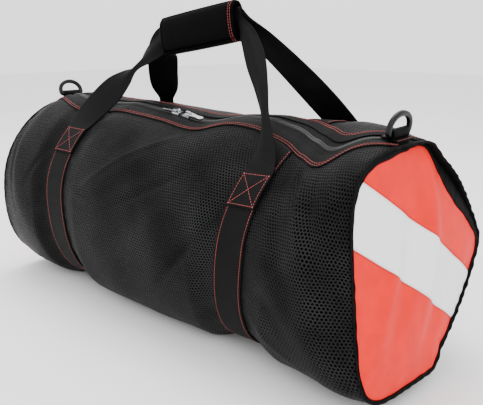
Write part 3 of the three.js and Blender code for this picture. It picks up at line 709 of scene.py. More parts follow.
def net_finish(sizes, colours):
    """Knitted net: rows of round holes between glossy black strands"""
    finish = Finish("net")
    place, along, across = finish.cloth()
    pitch = sizes.net_pitch
    stretch = finish.noise(place, 35 * MM) * 0.9
    u = along / pitch + stretch
    v = across / (pitch * math.sqrt(3)) + stretch

    def from_middle(shift):
        """How far a place is from the nearest hole of one set of rows"""
        squares = (u + shift).part() ** 2.0 + ((v + shift).part() * math.sqrt(3)) ** 2.0
        return squares.maths("SQRT")

    nearest = from_middle(0.0).least(from_middle(0.5))
    hole = sizes.net_hole
    strand = nearest.between(hole - HOLE_EDGE, hole + HOLE_EDGE)
    crest_and_hole_shade = nearest.between(hole + SHADED_RIM_START, hole + SHADED_RIM_END)
    twist = (u * 3.0 + v * 2.0).wave() * 0.25
    patches = finish.noise(finish.object_place(), 90 * MM, 3.0)
    # Painted highlight: random patches of the strands are made up to 4.4 times lighter, for strands catching
    # the light
    painted_highlight = finish.tint(patches.between(0.3, 0.75), colours.net, shade(colours.net, 4.4))
    # Painted shade: the holes and the rims round them go nearly black, and the holes stay mostly opaque, for
    # the dark inside of the bag seen through them
    colour = finish.tint(crest_and_hole_shade, shade(colours.net, 0.04), painted_highlight)
    height = crest_and_hole_shade + twist * crest_and_hole_shade
    return finish.finished(
        Base_Color=colour,
        Roughness=patches * 0.16 + 0.36,
        Specular_IOR_Level=0.03,
        Alpha=strand * (1 - HOLE_CLOSED) + HOLE_CLOSED,
        Normal=finish.bump(height, 0.5 * MM),
    )


def webbing_finish(name, colour, rib, depth=0.28 * MM, gloss=0.5):
    """Woven webbing: fine ribs across it, rows of warp along it and a slight sheen"""
    finish = Finish(name)
    place, along, across = finish.cloth()
    ribs = (along / rib).wave()
    warp = (across / (rib * 1.7) + (along / rib).part() * 0.15).wave()
    fuzz = finish.noise(place, 0.7 * MM, 2.0)
    wear = finish.noise(finish.object_place(), 35 * MM, 4.0, 0.6)
    tone = finish.tint(wear.between(0.35, 0.8), shade(colour, 0.8), shade(colour, 2.1))
    height = ribs * 0.6 + warp * 0.4 + fuzz * 0.35
    return finish.finished(
        Base_Color=tone,
        Roughness=wear * 0.2 + gloss,
        Specular_IOR_Level=0.06,
        Normal=finish.bump(height, depth),
    )


def nylon_finish(name, colour, painted_crease_shade):
    """Coated nylon: a fine plain weave under a soft gloss, darker in its creases"""
    finish = Finish(name)
    place, along, across = finish.cloth()
    thread = 0.55 * MM
    weave = (along / thread).wave() * (across / thread).wave()
    soft = finish.noise(place, 30 * MM, 4.0, 0.55)
    puckers = finish.noise(place, 11 * MM, 2.0, 0.5)
    # Painted shade: where the noise sinks the cloth into creases, its colour goes towards the darker shade
    # tone
    tone = finish.tint(soft.between(0.3, 0.75), painted_crease_shade, colour)
    grain = finish.bump(weave, 0.05 * MM)
    return finish.finished(
        Base_Color=tone,
        Roughness=soft * 0.12 + 0.4,
        Specular_IOR_Level=0.1,
        Normal=finish.bump(puckers + soft * 1.5, 0.9 * MM, 0.5, grain),
    )


def grip_finish(colour):
    """Smooth nylon stretched over foam"""
    finish = Finish("grip")
    _, along, across = finish.cloth()
    thread = 0.6 * MM
    weave = (along / thread).wave() * 0.5 + (across / thread).wave() * 0.5
    soft = finish.noise(finish.object_place(), 20 * MM, 3.0)
    grain = finish.bump(weave, 0.06 * MM)
    return finish.finished(
        Base_Color=finish.tint(soft.between(0.3, 0.8), shade(colour, 0.7), shade(colour, 1.6)),
        Roughness=soft * 0.18 + 0.45,
        Specular_IOR_Level=0.02,
        Normal=finish.bump(soft, 1.2 * MM, 0.5, grain),
    )


def thread_finish(colour):
    """Twisted polyester thread"""
    finish = Finish("thread")
    place = finish.object_place()
    lay = finish.noise(place, 0.8 * MM, 1.0)
    tone = finish.tint(finish.noise(place, 20 * MM), shade(colour, 0.7), shade(colour, 1.25))
    return finish.finished(Base_Color=tone, Roughness=0.5, Normal=finish.bump(lay, 0.12 * MM))


def coil_finish(colour):
    """Moulded nylon coil"""
    finish = Finish("coil")
    grain = finish.noise(finish.object_place(), 1 * MM, 2.0)
    tone = finish.tint(grain.between(0.3, 0.7), shade(colour, 0.8), shade(colour, 1.8))
    return finish.finished(
        Base_Color=tone, Roughness=grain * 0.2 + 0.28, Normal=finish.bump(grain, 0.05 * MM)
    )


def plastic_finish(colour):
    """Moulded plastic with a fine grain and faint scuffs"""
    finish = Finish("ring_plastic")
    place = finish.object_place()
    grain = finish.noise(place, 0.6 * MM, 2.0)
    scuffs = finish.noise(place, 6 * MM, 6.0, 0.7)
    tone = finish.tint(scuffs.between(0.5, 0.8), colour, shade(colour, 3.0))
    return finish.finished(
        Base_Color=tone,
        Roughness=scuffs * 0.25 + 0.2,
        Specular_IOR_Level=0.22,
        Normal=finish.bump(grain, 0.04 * MM),
    )


def metal_finish(colour):
    """Plated and polished die casting"""
    finish = Finish("zip_metal")
    place = finish.object_place()
    smudges = finish.noise(place, 4 * MM, 4.0, 0.6)
    tone = finish.tint(smudges.between(0.35, 0.75), shade(colour, 0.75), shade(colour, 1.25))
    return finish.finished(
        Base_Color=tone,
        Metallic=1.0,
        Roughness=smudges * 0.2 + 0.12,
        Normal=finish.bump(smudges, 0.06 * MM),
    )


def floor_finish():
    """Plain pale floor"""
    finish = Finish("floor")
    drift = finish.noise(finish.object_place(), 0.8, 1.0)
    tone = finish.tint(drift, (0.86, 0.86, 0.86), (0.9, 0.9, 0.9))
    return finish.finished(Base_Color=tone, Roughness=0.7, Specular_IOR_Level=0.2)


FINISHES = {}


def dress(piece, finish, slot, *nodes, body="bag"):
    """Gives a piece its material, its slot, the solids that it stands for, and its body"""
    piece.data.materials.clear()
    piece.data.materials.append(FINISHES[finish])
    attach(piece, body)
    if nodes:
        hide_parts(*nodes)
    return piece


# Geometry Nodes trees


class Tree:
    """A Geometry Nodes tree under construction"""

    def __init__(self, name):
        self.tree = bpy.data.node_groups.new(name, "GeometryNodeTree")
        self.tree.interface.new_socket("Geometry", in_out="INPUT", socket_type="NodeSocketGeometry")
        self.inputs = {}
        self.source = self.tree.nodes.new("NodeGroupInput")

    def number(self, name, value):
        socket = self.tree.interface.new_socket(name, in_out="INPUT", socket_type="NodeSocketFloat")
        socket.default_value = value
        self.inputs[name] = socket.identifier
        return self.source.outputs[name]

    def node(self, kind, settings=None, sockets=None):
        made = self.tree.nodes.new(kind)
        for key, setting in (settings or {}).items():
            setattr(made, key, setting)
        for key, value in (sockets or {}).items():
            if isinstance(value, bpy.types.NodeSocket):
                self.tree.links.new(value, made.inputs[key])
            else:
                made.inputs[key].default_value = value
        return made

    def finish(self, geometry):
        self.tree.interface.new_socket("Geometry", in_out="OUTPUT", socket_type="NodeSocketGeometry")
        out = self.tree.nodes.new("NodeGroupOutput")
        self.tree.links.new(geometry, out.inputs[0])
        return self.tree


def bead_tree(name, material):
    """Beads of thread or coil along edges, lying along them with their tops along the face's normal"""
    tree = Tree(name)
    pitch = tree.number("Pitch", 0.004)
    length = tree.number("Length", 0.003)
    width = tree.number("Width", 0.001)
    height = tree.number("Height", 0.0007)
    curve = tree.node("GeometryNodeMeshToCurve", {}, {0: tree.source.outputs[0]})
    steps = tree.node(
        "GeometryNodeResampleCurve", {"mode": "LENGTH"}, {"Curve": curve.outputs[0], "Length": pitch}
    )
    facing = tree.node("GeometryNodeInputNamedAttribute", {"data_type": "FLOAT_VECTOR"}, {"Name": "facing"})
    lying = tree.node("GeometryNodeInputNamedAttribute", {"data_type": "FLOAT_VECTOR"}, {"Name": "lying"})
    along = tree.node("FunctionNodeAlignRotationToVector", {"axis": "X"}, {"Vector": lying.outputs[0]})
    upright = tree.node(
        "FunctionNodeAlignRotationToVector", {"axis": "Z", "pivot_axis": "X"},
        {"Rotation": along.outputs[0], "Vector": facing.outputs[0]},
    )
    bead = tree.node("GeometryNodeMeshUVSphere", {}, {"Segments": 6, "Rings": 4, "Radius": 0.5})
    turned = tree.node(
        "GeometryNodeTransform", {}, {"Geometry": bead.outputs[0], "Rotation": (0, math.pi / 2, 0)}
    )
    size = tree.node("ShaderNodeCombineXYZ", {}, {0: length, 1: width, 2: height})
    copies = tree.node(
        "GeometryNodeInstanceOnPoints", {},
        {
            "Points": steps.outputs[0], "Instance": turned.outputs[0],
            "Rotation": upright.outputs[0], "Scale": size.outputs[0],
        },
    )
    real = tree.node("GeometryNodeRealizeInstances", {}, {0: copies.outputs[0]})
    smooth = tree.node("GeometryNodeSetShadeSmooth", {}, {0: real.outputs[0]})
    coloured = tree.node("GeometryNodeSetMaterial", {}, {"Geometry": smooth.outputs[0], "Material": material})
    return tree.finish(coloured.outputs[0]), tree.inputs


def beads(name, lines, finish, pitch, length, width, height, across=False):
    """Beads along polylines of (points, normals). across lays each one across its line."""
    points, edges, facing, lying = [], [], [], []
    for path, normals in lines:
        start = len(points)
        ways = unit(np.gradient(path, axis=0))
        if across:
            ways = unit(np.cross(ways, normals))
        points.extend(path.tolist())
        facing.extend(np.broadcast_to(normals, path.shape).tolist())
        lying.extend(ways.tolist())
        edges.extend((start + i, start + i + 1) for i in range(len(path) - 1))
    mesh = bpy.data.meshes.new(name + "_lines")
    mesh.from_pydata(points, edges, [])
    for label, values in (("facing", facing), ("lying", lying)):
        attribute = mesh.attributes.new(label, "FLOAT_VECTOR", "POINT")
        attribute.data.foreach_set("vector", np.array(values, "f").ravel())
    source = placed(name + "_lines", mesh)
    tree, inputs = bead_tree(name, FINISHES[finish])
    modifier = source.modifiers.new("beads", "NODES")
    modifier.node_group = tree
    for label, value in (("Pitch", pitch), ("Length", length), ("Width", width), ("Height", height)):
        modifier[inputs[label]] = value
    bpy.context.view_layer.update()
    evaluated = source.evaluated_get(bpy.context.evaluated_depsgraph_get())
    made = bpy.data.meshes.new_from_object(evaluated)
    made.name = name
    piece = placed(name, made)
    bpy.data.objects.remove(source)
    return piece


def sewn(name, lines, sizes, slot="webbing"):
    """Rows of stitches along lines of (points, normals)"""
    width = sizes.thread_width
    piece = beads(name, lines, "thread", sizes.stitch_pitch, sizes.stitch_length, width, width * 0.7)
    dress(piece, "thread", slot)


# Pieces


def ripple(run, terms):
    """Small uneven waves along a run of cloth"""
    return terms["height"] * np.sin(run / terms["wave"] + terms["sway"] * np.sin(run / terms["drift"]))


def rucks(girth, distance, terms):
    """Small gathers that fade with the distance from a seam or a belt"""
    strength = np.clip(distance / terms["start"], 0, 1) * np.exp(-distance / terms["fade"])
    return ripple(girth, terms) * strength


def build_net(sizes):
    """The sheet of net, from one side of the zip round to the other"""
    at = np.linspace(-1, 1, sizes.net_stations)[:, None]
    share = np.linspace(0, 1, sizes.net_turns)[None, :]
    turn = mix(zip_turn(at, NET_EDGE), zip_turn(at, -NET_EDGE) + 360, share)
    arc = np.minimum(share, 1 - share) * 360 * DEG * BODY_HALF_WIDTH
    clear = ease(np.clip((arc - NET_TUCKED) / NET_FREE_WITHIN, 0, 1))
    free = (1 - under_belt(at * HALF) ** 0.5) * clear
    girth = turn * DEG * BODY_HALF_WIDTH
    x = at * HALF
    gathers = rucks(girth, HALF - np.abs(x), SEAM_RUCKS)
    tucks = rucks(girth, np.maximum(beyond_belt(x), 0), BELT_RUCKS)
    slack = np.sin(x / (19 * MM) + 1.7 * np.sin(girth / (41 * MM)))
    slack = slack * np.sin(girth / (27 * MM) + np.sin(x / (37 * MM)))
    relief = (CREASE_DEPTH * pushed(CREASES, at, turn) + NET_SLACK * slack) * free
    relief = relief + (gathers + tucks) * np.clip(arc / NET_TUCKED - 1, 0, 1)
    points = on_barrel(at, turn, relief)[0]
    points[..., 2] = np.maximum(points[..., 2], 0)
    cloth = np.stack(np.broadcast_arrays(x, girth), axis=-1)
    net = skin("net_cloth", points, cloth)
    strands = net.modifiers.new("strands", "SOLIDIFY")
    strands.thickness = NET_WALL * STRAND_SHARE
    strands.offset = -1
    dress(net, "net", "net", "net_barrel")


def zip_strip(name, section, finish, slot, node):
    """A strip along the zip with a section of (arc, height)"""
    at = np.linspace(-1, 1, 160)
    points = on_barrel(at[:, None], zip_turn(at[:, None], section[None, :, 0]), section[None, :, 1])[0]
    cloth = flat_places(at * HALF, section_lengths(section))
    return dress(skin(name, points, cloth, round_section=True), finish, slot, node)


def zip_line(arc, height):
    """A line along the zip at an arc and a height"""
    at = np.linspace(-1, 1, 420)
    return on_barrel(at, zip_turn(at, arc), height)[:2]


def build_zip(sizes):
    """Facings with two rows of stitches, ribbed tapes, and the coil between them"""
    for face, label in ((1, "front"), (-1, "back")):
        low = CLOTH_GAP
        section = strip_section(low, low + FACING_THICKNESS, FACING_FROM, FACING_REACH, columns=9)
        section[:, 0] *= face
        share = np.clip((np.abs(section[:, 0]) - FACING_FROM) / FACING_WIDTH, 0, 1)
        crown = 0.35 * MM * np.sin(share * math.pi)
        section[:, 1] += np.where(section[:, 1] > low + FACING_THICKNESS / 2, crown, 0)
        zip_strip(f"zip_facing_cloth_{label}", section, "tape", "tape", f"zip_facing_{label}")
        inner = COIL_HALF_WIDTH - 0.6 * MM
        tape = strip_section(-ZIP_TAPE_THICKNESS, 0, inner, ZIP_HALF_SLOT - CLOTH_GAP, columns=7)
        tape[:, 0] *= face
        zip_strip(f"zip_tape_cloth_{label}", tape, "zip_tape", "tape", f"zip_tape_{label}")
    core = strip_section(-COIL_BELOW, COIL_ABOVE * 0.45, -COIL_HALF_WIDTH, COIL_HALF_WIDTH)
    zip_strip("zip_coil_core", core, "coil", "coil", "zip_coil")
    rows = [zip_line(arc, COIL_ABOVE * 0.6) for arc in (-1.55 * MM, 1.55 * MM)]
    teeth = beads(
        "zip_teeth", rows, "coil", sizes.tooth_pitch, 3.5 * MM, sizes.tooth_pitch * 0.8, 2.0 * MM, across=True
    )
    dress(teeth, "coil", "coil")
    height = CLOTH_GAP + FACING_THICKNESS + ZIP_STITCH_LIFT
    lines = []
    for face in (-1, 1):
        for inset in FACING_ROWS:
            lines.append(zip_line(face * (FACING_REACH - inset), height))
    sewn("zip_stitches", lines, sizes, "tape")
    build_sliders()


def belt_points(side, share, edge, height):
    """Places on a belt: share along it from the front facing to the back one, edge from -1 to 1"""
    at = belt_at(side, edge)
    reach = FACING_REACH + CLOTH_GAP
    turn = mix(zip_turn(at, reach), zip_turn(at, -reach) + 360, share)
    return on_barrel(at, turn, height)[:2]


def build_belts(sizes):
    """Belts of webbing round the barrel, stitched along both edges"""
    half = WEBBING_WIDTH / 2
    for side, label in ((-1, "left"), (1, "right")):
        section = strip_section(CLOTH_GAP, CLOTH_GAP + WEBBING_THICKNESS, -half, half, 0.7 * MM, 9)
        share = np.linspace(0, 1, 220)[:, None]
        points = belt_points(side, share, section[None, :, 0] / half, section[None, :, 1])[0]
        points[..., 2] = np.maximum(points[..., 2], 0)
        cloth = flat_places(run_lengths(points[:, 4]), section_lengths(section))
        belt = skin(f"belt_webbing_{label}", points, cloth, round_section=True)
        dress(belt, "webbing", "webbing", f"belt_{label}")
        run = np.linspace(0.004, 0.996, 420)
        top = CLOTH_GAP + WEBBING_THICKNESS + BELT_STITCH_LIFT
        edges = [belt_points(side, run, edge, top) for edge in (-BELT_ROW, BELT_ROW)]
        sewn(f"belt_stitches_{label}", edges, sizes)


def panel_rim(end):
    """The seam of an end panel: its hub and its points by the angle round the hub"""
    middle = (read(SECTIONS, "foot", end) + read(SECTIONS, "crown", end)) / 2 * BODY_HEIGHT
    hub = np.array([end * HALF, 0, float(middle)]) + FRAME_SHIFT
    turn = np.linspace(0, 360, 721)
    depth = -NET_WALL - BINDING_INSIDE - CLOTH_GAP
    rim = on_barrel(float(end), turn, np.full(turn.shape, depth))[0]
    angle = np.arctan2(-(rim[:, 1] - hub[1]), rim[:, 2] - hub[2]) / DEG % 360
    order = np.argsort(angle)
    return hub, angle[order], rim[order] - hub


def panel_place(end, hub, angles, rim, y, z, height=0.0):
    """Places on an end panel for distances from its hub, with its dome, folds and fine puckers"""
    angle = np.arctan2(-y, z) / DEG % 360
    edge = [np.interp(angle, angles, rim[:, k], period=360) for k in range(3)]
    radius = np.clip(np.hypot(y, z) / np.hypot(edge[1], edge[2]), 0, 1)
    stand = CLOTH_GAP + PANEL_DOME * (1 - radius**2)
    inner = 1 - radius**3
    for fold in PANEL_FOLDS:
        c = math.cos(fold["heading"] * DEG)
        s = math.sin(fold["heading"] * DEG)
        dy = y / BODY_HALF_WIDTH - fold["y"]
        dz = z / BODY_HALF_WIDTH - fold["z"]
        shape = bell((dy * c + dz * s) / fold["run"]) * bell((dz * c - dy * s) / fold["across"])
        stand = stand + fold["depth"] * BODY_HALF_WIDTH * shape * inner
    turn = angle * DEG * BODY_HALF_WIDTH
    near_rim = np.exp(-(1 - radius) / PANEL_RIM) * np.clip((1 - radius) * 3 / PANEL_RIM, 0, 1)
    stand = stand + ripple(turn, PANEL_PUCKERS) * near_rim
    drape = np.sin(y / (13 * MM) + z / (47 * MM) + 1.3 * np.sin(z / (33 * MM)))
    stand = stand + PANEL_SLACK * drape * inner
    x = edge[0] * radius + end * (stand + height)
    return np.stack([x, y, z], axis=-1) + hub


def stripe_ways(end):
    """The ways along and across the stripe, as (y, z)"""
    heading = -end * STRIPE_HEADING * DEG
    return np.array([math.cos(heading), math.sin(heading)]), np.array([-math.sin(heading), math.cos(heading)])


def band_reach(rim, along, across, distance, side):
    """How far a line along the stripe, at a distance across it, runs to the seam"""
    closed = np.vstack([rim, rim[:1]])
    d = closed[:, 1] * across[0] + closed[:, 2] * across[1] - distance
    a = closed[:, 1] * along[0] + closed[:, 2] * along[1]
    best = None
    for i in np.nonzero(d[:-1] * d[1:] <= 0)[0]:
        share = d[i] / (d[i] - d[i + 1]) if d[i] != d[i + 1] else 0.0
        reach = mix(a[i], a[i + 1], share)
        if best is None or reach * side > best * side:
            best = reach
    return 0.0 if best is None else best


def panel_band(end, label, name, low, high, colour):
    """One piece of an end panel between two distances across the stripe"""
    hub, angles, rim = panel_rim(end)
    along, across = stripe_ways(end)
    d = rim[:, 1] * across[0] + rim[:, 2] * across[1]
    low = max(low, d.min() + 0.2 * MM)
    high = min(high, d.max() - 0.2 * MM)
    steps = max(12, int((high - low) / (3.2 * MM)))
    places = []
    for distance in np.linspace(low, high, steps):
        start = band_reach(rim, along, across, distance, -1)
        stop = band_reach(rim, along, across, distance, 1)
        run = np.linspace(start, stop, 90)
        places.append(run[:, None] * along + distance * across)
    places = np.array(places)
    y, z = places[..., 0], places[..., 1]
    across_band = y * across[0] + z * across[1]
    from_edge = np.minimum(across_band - low, high - across_band)
    seam = -SEAM_DIP * np.exp(-from_edge / SEAM_SPREAD)
    points = panel_place(end, hub, angles, rim, y, z, seam)
    cloth = np.stack([y * along[0] + z * along[1], across_band], axis=-1)
    sheet = skin(f"flag_cloth_{name}_{label}", points, cloth)
    solid = sheet.modifiers.new("wall", "SOLIDIFY")
    solid.thickness = PANEL_THICKNESS * PANEL_CLOTH_SHARE
    solid.offset = -1
    dress(sheet, colour, f"{colour}_cloth", f"flag_{name}_{label}")


def seam_line(end, distance, height):
    """A line along the stripe on an end panel"""
    hub, angles, rim = panel_rim(end)
    along, across = stripe_ways(end)
    start = band_reach(rim, along, across, distance, -1) * 0.985
    stop = band_reach(rim, along, across, distance, 1) * 0.985
    run = np.linspace(start, stop, 200)
    y, z = (run[:, None] * along + distance * across).T
    points = panel_place(end, hub, angles, rim, y, z, height)
    step = 0.5 * MM
    dy = panel_place(end, hub, angles, rim, y + step, z, height) - points
    dz = panel_place(end, hub, angles, rim, y, z + step, height) - points
    return points, unit(np.cross(dy, dz) * end)


def build_ends(sizes):
    """End panels of red cloth with a white stripe, and the binding round their seams"""
    half = STRIPE_WIDTH / 2
    for end, label in ((-1, "left"), (1, "right")):
        panel_band(end, label, "upper", half, BAG_LENGTH, "red")
        panel_band(end, label, "stripe", -half, half, "white")
        panel_band(end, label, "lower", -BAG_LENGTH, -half, "red")
        rows = [seam_line(end, edge * (half + SEAM_ROW), SEAM_STITCH_LIFT) for edge in (-1, 1)]
        piece = beads(
            f"flag_seams_{label}", rows, "seam_thread", sizes.stitch_pitch * 0.8, sizes.stitch_length * 0.9,
            sizes.thread_width * 0.9, sizes.thread_width * 0.5,
        )
        dress(piece, "seam_thread", "red_cloth")
        build_binding(end, label)


def build_binding(end, label):
    """Binding tape folded over the edge of a seam"""
    turn = np.linspace(0, 360, 301)[:-1]
    stand = read(BINDING_TURNS, "stand", turn) * BINDING_WIDTH
    low = -NET_WALL - BINDING_INSIDE
    high = BINDING_PROUD
    ripple = 0.5 * MM * np.sin(turn * DEG * 61) + 0.35 * MM * np.sin(turn * DEG * 37 + 1)
    loop = []
    section = [(0, high), (0.25, high + 0.15 * MM), (0.75, high + 0.1 * MM), (1, high - 0.5 * MM)]
    section += [(1, low + 0.5 * MM), (0.75, low), (0.25, low), (0, low)]
    for edge, height in section:
        points = on_barrel(float(end), turn, np.full(turn.shape, height))[0]
        points[:, 0] += end * (CLOTH_GAP * 0.5 + edge * (stand + np.clip(ripple, -stand / 2, stand / 2)))
        loop.append(points)
    points = np.stack(loop, axis=1)
    flat = np.array([(edge * BINDING_WIDTH, height) for edge, height in section])
    cloth = flat_places(closed_run(points), section_lengths(flat))
    piece = skin(f"end_binding_tape_{label}", points, cloth, round_section=True, round_path=True)
    dress(piece, "binding", "binding", f"end_binding_{label}")
    build_lap(end, label)


def build_lap(end, label):
    """The edging that laps over a panel inside its seam"""
    hub, angles, rim = panel_rim(end)
    angle = np.linspace(0, 360, 301)[:-1]
    edge = [np.interp(angle, angles, rim[:, k], period=360) for k in (1, 2)]
    width = read(LAPS[end], "width", angle) * MM
    width = width * (1 + 0.03 * np.sin(angle * DEG * 17))
    share = np.array([row["inwards"] for row in LAP_SECTION])
    over = np.array([row["over"] for row in LAP_SECTION]) * LAP_STAND
    inwards = 1 - width[:, None] * share / np.hypot(*edge)[:, None]
    waves = 0.4 * MM * np.sin(angle * DEG * 31 + 2 * np.sin(angle * DEG * 7))
    waves = waves[:, None] * (over > 0.5 * MM) * share
    y, z = edge[0][:, None] * inwards, edge[1][:, None] * inwards
    points = panel_place(end, hub, angles, rim, y, z, over[None, :] + 0.2 * MM + waves)
    across = np.concatenate([share * 20 * MM, [0]])
    cloth = flat_places(closed_run(points), across)
    piece = skin(f"end_lap_{label}", points, cloth, round_section=True, round_path=True)
    dress(piece, "binding", "binding")


def leg_curve(face, side, leg):
    """The middle line of a strap's leg, from the top of its foot to where the grip holds it"""
    turn = leg["foot_top"] if face > 0 else 360 - leg["foot_top"]
    height = 2 * CLOTH_GAP + 1.5 * WEBBING_THICKNESS
    point, normal, girth = on_barrel(belt_at(side, 0), float(turn), height)
    rise = unit(-face * girth + LEG_LIFT * normal)
    held = in_grip(side * (GRIP_LENGTH / 2 - GRIP_HOLD), -face * (WEBBING_THICKNESS + STRAPS_APART) / 2, 0)
    outwards = in_grip(side, 0, 0) - in_grip(0, 0, 0)
    distance = np.linalg.norm(held - point)
    after = held + outwards * distance * leg["reach"] - np.array([0, 0, distance * leg["drop"]])
    return np.array([point, point + rise * distance * leg["rise"], after, held]), normal


def bezier(knots, t):
    a, b, c, d = knots
    t = t[:, None]
    return a * (1 - t) ** 3 + 3 * b * (1 - t) ** 2 * t + 3 * c * (1 - t) * t**2 + d * t**3


def bezier_way(knots, t):
    a, b, c, d = knots
    t = t[:, None]
    return unit((b - a) * (1 - t) ** 2 + 2 * (c - b) * (1 - t) * t + (d - c) * t**2)


def leg_rows(face, side, leg, steps):
    """Middle, across and outward ways, and half widths, of a strap along its leg"""
    knots, base_normal = leg_curve(face, side, leg)
    t = np.linspace(0, 1, steps + 1)[1:]
    way = bezier_way(knots, t)
    faced = unit(base_normal + (np.array([0, -face, 0]) - base_normal) * ease(t)[:, None])
    across = unit(np.cross(way, faced) * face)
    normal = unit(np.cross(across, way) * face)
    roll = (read(leg["rows"], "roll", t) * DEG * side)[:, None]
    wide = across * np.cos(roll) + normal * np.sin(roll)
    thick = normal * np.cos(roll) - across * np.sin(roll)
    gather = read(leg["rows"], "gather", t)
    return bezier(knots, t), wide, thick, gather


def foot_places(face, side, leg, share, edge, height):
    """Places on a strap's stitched foot: share from its low end to its top"""
    middle = belt_at(side, 0)
    top = line_at_turn(middle, leg["foot_top"] if face > 0 else 360 - leg["foot_top"])
    low = top + face * FOOT_LENGTH / LINE_ARC
    return on_barrel(belt_at(side, edge), girth_turn(middle, mix(low, top, share)), height)[:2]


def strap_section():
    return strip_section(-0.5, 0.5, -1, 1, 0.03, 13)


def half_strap(face, side, leg):
    """Rows of points of a strap from its foot's low end to the grip"""
    section = strap_section()
    share = np.linspace(0, 1, 16)[:, None]
    over = section[None, :, 1] + 0.5
    height = 2 * CLOTH_GAP + (1 + over) * WEBBING_THICKNESS
    foot = foot_places(face, side, leg, share, section[None, :, 0], height)[0]
    middle, wide, thick, gather = leg_rows(face, side, leg, 64)
    edge = section[None, :, 0, None]
    squeeze = np.sqrt(np.clip(1 - gather**2, 0, 1))[:, None]
    cup = squeeze * 2.25 * MM * np.cos(math.pi * section[None, :, 0])
    cup = cup * np.clip((1 - gather) * 3, 0, 1)[:, None]
    hold = ease(np.clip((1 - np.linspace(0, 1, 65)[1:]) / 0.12, 0, 1))[:, None]
    rise = section[None, :, 1] * WEBBING_THICKNESS + cup * hold
    points = middle[:, None] + wide[:, None] * edge * (gather * WEBBING_WIDTH / 2)[:, None, None]
    return np.vstack([foot, points + thick[:, None] * rise[..., None]])


def foot_box(face, side, leg, height):
    """The crossed box of stitches on a strap's foot"""
    low, high = FOOT_MARGIN, 1 - FOOT_MARGIN
    corners = [(low, -FOOT_ROW), (low, FOOT_ROW), (high, FOOT_ROW), (high, -FOOT_ROW)]
    paths = [(corners[i], corners[(i + 1) % 4]) for i in range(4)]
    paths += [(corners[0], corners[2]), (corners[1], corners[3])]
    run = np.linspace(0, 1, 24)
    return [
        foot_places(face, side, leg, mix(share, other_share, run), mix(edge, other_edge, run), height)
        for (share, edge), (other_share, other_edge) in paths
    ]


def build_handles(sizes):
    """Two straps, each from foot to foot through the grip, with crossed boxes of stitches on their feet"""
    for face, label in ((1, "front"), (-1, "back")):
        left = half_strap(face, -1, LEGS[label, -1])
        right = half_strap(face, 1, LEGS[label, 1])
        section = strap_section()
        mirrored = [int(np.argmin(np.abs(section - np.array([-x, y])).sum(1))) for x, y in section]
        right = right[::-1][:, mirrored]
        points = np.vstack([left, right])
        cloth = flat_places(run_lengths(points.mean(1)), section_lengths(section * np.array([25, 2]) * MM))
        strap = skin(f"handle_webbing_{label}", points, cloth, round_section=True, inside=(0, 0, 0.38))
        dress(strap, "webbing", "webbing", f"handle_{label}")
    lines = []
    top = 2 * CLOTH_GAP + 2 * WEBBING_THICKNESS + STITCH_LIFT
    for face, label in ((1, "front"), (-1, "back")):
        for side in (-1, 1):
            lines.extend(foot_box(face, side, LEGS[label, side], top))
    sewn("foot_stitches", lines, sizes)
    build_grip(sizes)


def oval(turn, width, height, power):
    s = np.sin(turn * DEG)
    c = np.cos(turn * DEG)
    across = -np.sign(s) * width * np.abs(s) ** (2 / power) / 2
    return across, np.sign(c) * height * np.abs(c) ** (2 / power) / 2


def grip_surface(at, turn, inset=0.0):
    """Places on the grip's padded face, with a crown along it, a lapped flap and a crease under it"""
    end = np.clip((np.abs(at) * GRIP_LENGTH / 2 - (GRIP_LENGTH / 2 - GRIP_END)) / GRIP_END, 0, 1)
    rounding = GRIP_ROUNDING * (1 - np.sqrt(1 - end**2 * 0.98))
    flap = GRIP_FLAP * np.clip((turn - 180) / 120, 0, 1) ** 1.5
    swell = flap + GRIP_CROWN * (1 - at**2) - 2 * rounding
    crease = 0
    for dent in (GRIP_CREASE, GRIP_DIMPLE):
        crease = crease + dent["depth"] * bell((turn - dent["turn"]) / dent["spread"])
    hem = GRIP_HEM["depth"] * bell((np.abs(at) - GRIP_HEM["at"]) / GRIP_HEM["spread"])
    y, z = oval(GRIP_FLAP_TURN + turn, GRIP_THICKNESS + swell, GRIP_HEIGHT + swell, 2.6)
    sunk = crease + hem + inset
    return in_grip(at * GRIP_LENGTH / 2, y * (1 - sunk / (GRIP_THICKNESS / 2)), z * (1 - sunk / GRIP_HEIGHT))


def build_grip(sizes):
    """The padded grip wrapped round both straps, sewn across near its ends"""
    turn = np.concatenate([np.linspace(0, 359.4, 121), [359.9]])
    ends = 1 - (1 - np.cos(np.linspace(0, math.pi / 2, 7))) * 0.09
    at = np.concatenate([-ends, np.linspace(-0.9, 0.9, 37), ends[::-1]])
    outer = grip_surface(at[:, None], turn[None, :])
    slot = []
    for place in (1.0, 0.94, 0.86, 0.5, 0, -0.5, -0.86, -0.94, -1.0):
        flare = GRIP_MOUTH_FLARE * max(0, (abs(place) - 0.86) / 0.14)
        y, z = oval(GRIP_FLAP_TURN + turn, GRIP_SLOT_THICKNESS + flare, GRIP_SLOT_HEIGHT + flare / 2, 6)
        slot.append(in_grip(place * GRIP_LENGTH / 2 * 0.998, y, z))
    points = np.concatenate([outer, np.array(slot)])
    around_grip = np.concatenate([turn * DEG * GRIP_HEIGHT * 0.38, [360 * DEG * GRIP_HEIGHT * 0.38]])
    cloth = flat_places(closed_run(points), around_grip)
    wrap = skin("grip_padding", points, cloth, round_section=True, round_path=True, inside=(0, 0, 0))
    dress(wrap, "grip", "grip", "grip_wrap")
    lines = []
    run = np.linspace(2, 357, 200)
    for place in GRIP_ROWS:
        points = grip_surface(np.full(run.shape, place), run, GRIP_STITCH_SUNK)
        middle = in_grip(place * GRIP_LENGTH / 2, 0, 0)
        lines.append((points, unit(points - middle)))
    sewn("grip_stitches", lines, sizes, "grip")


def joint_named(name):
    return next(joint for joint in frame["joints"] if joint["name"] == name)


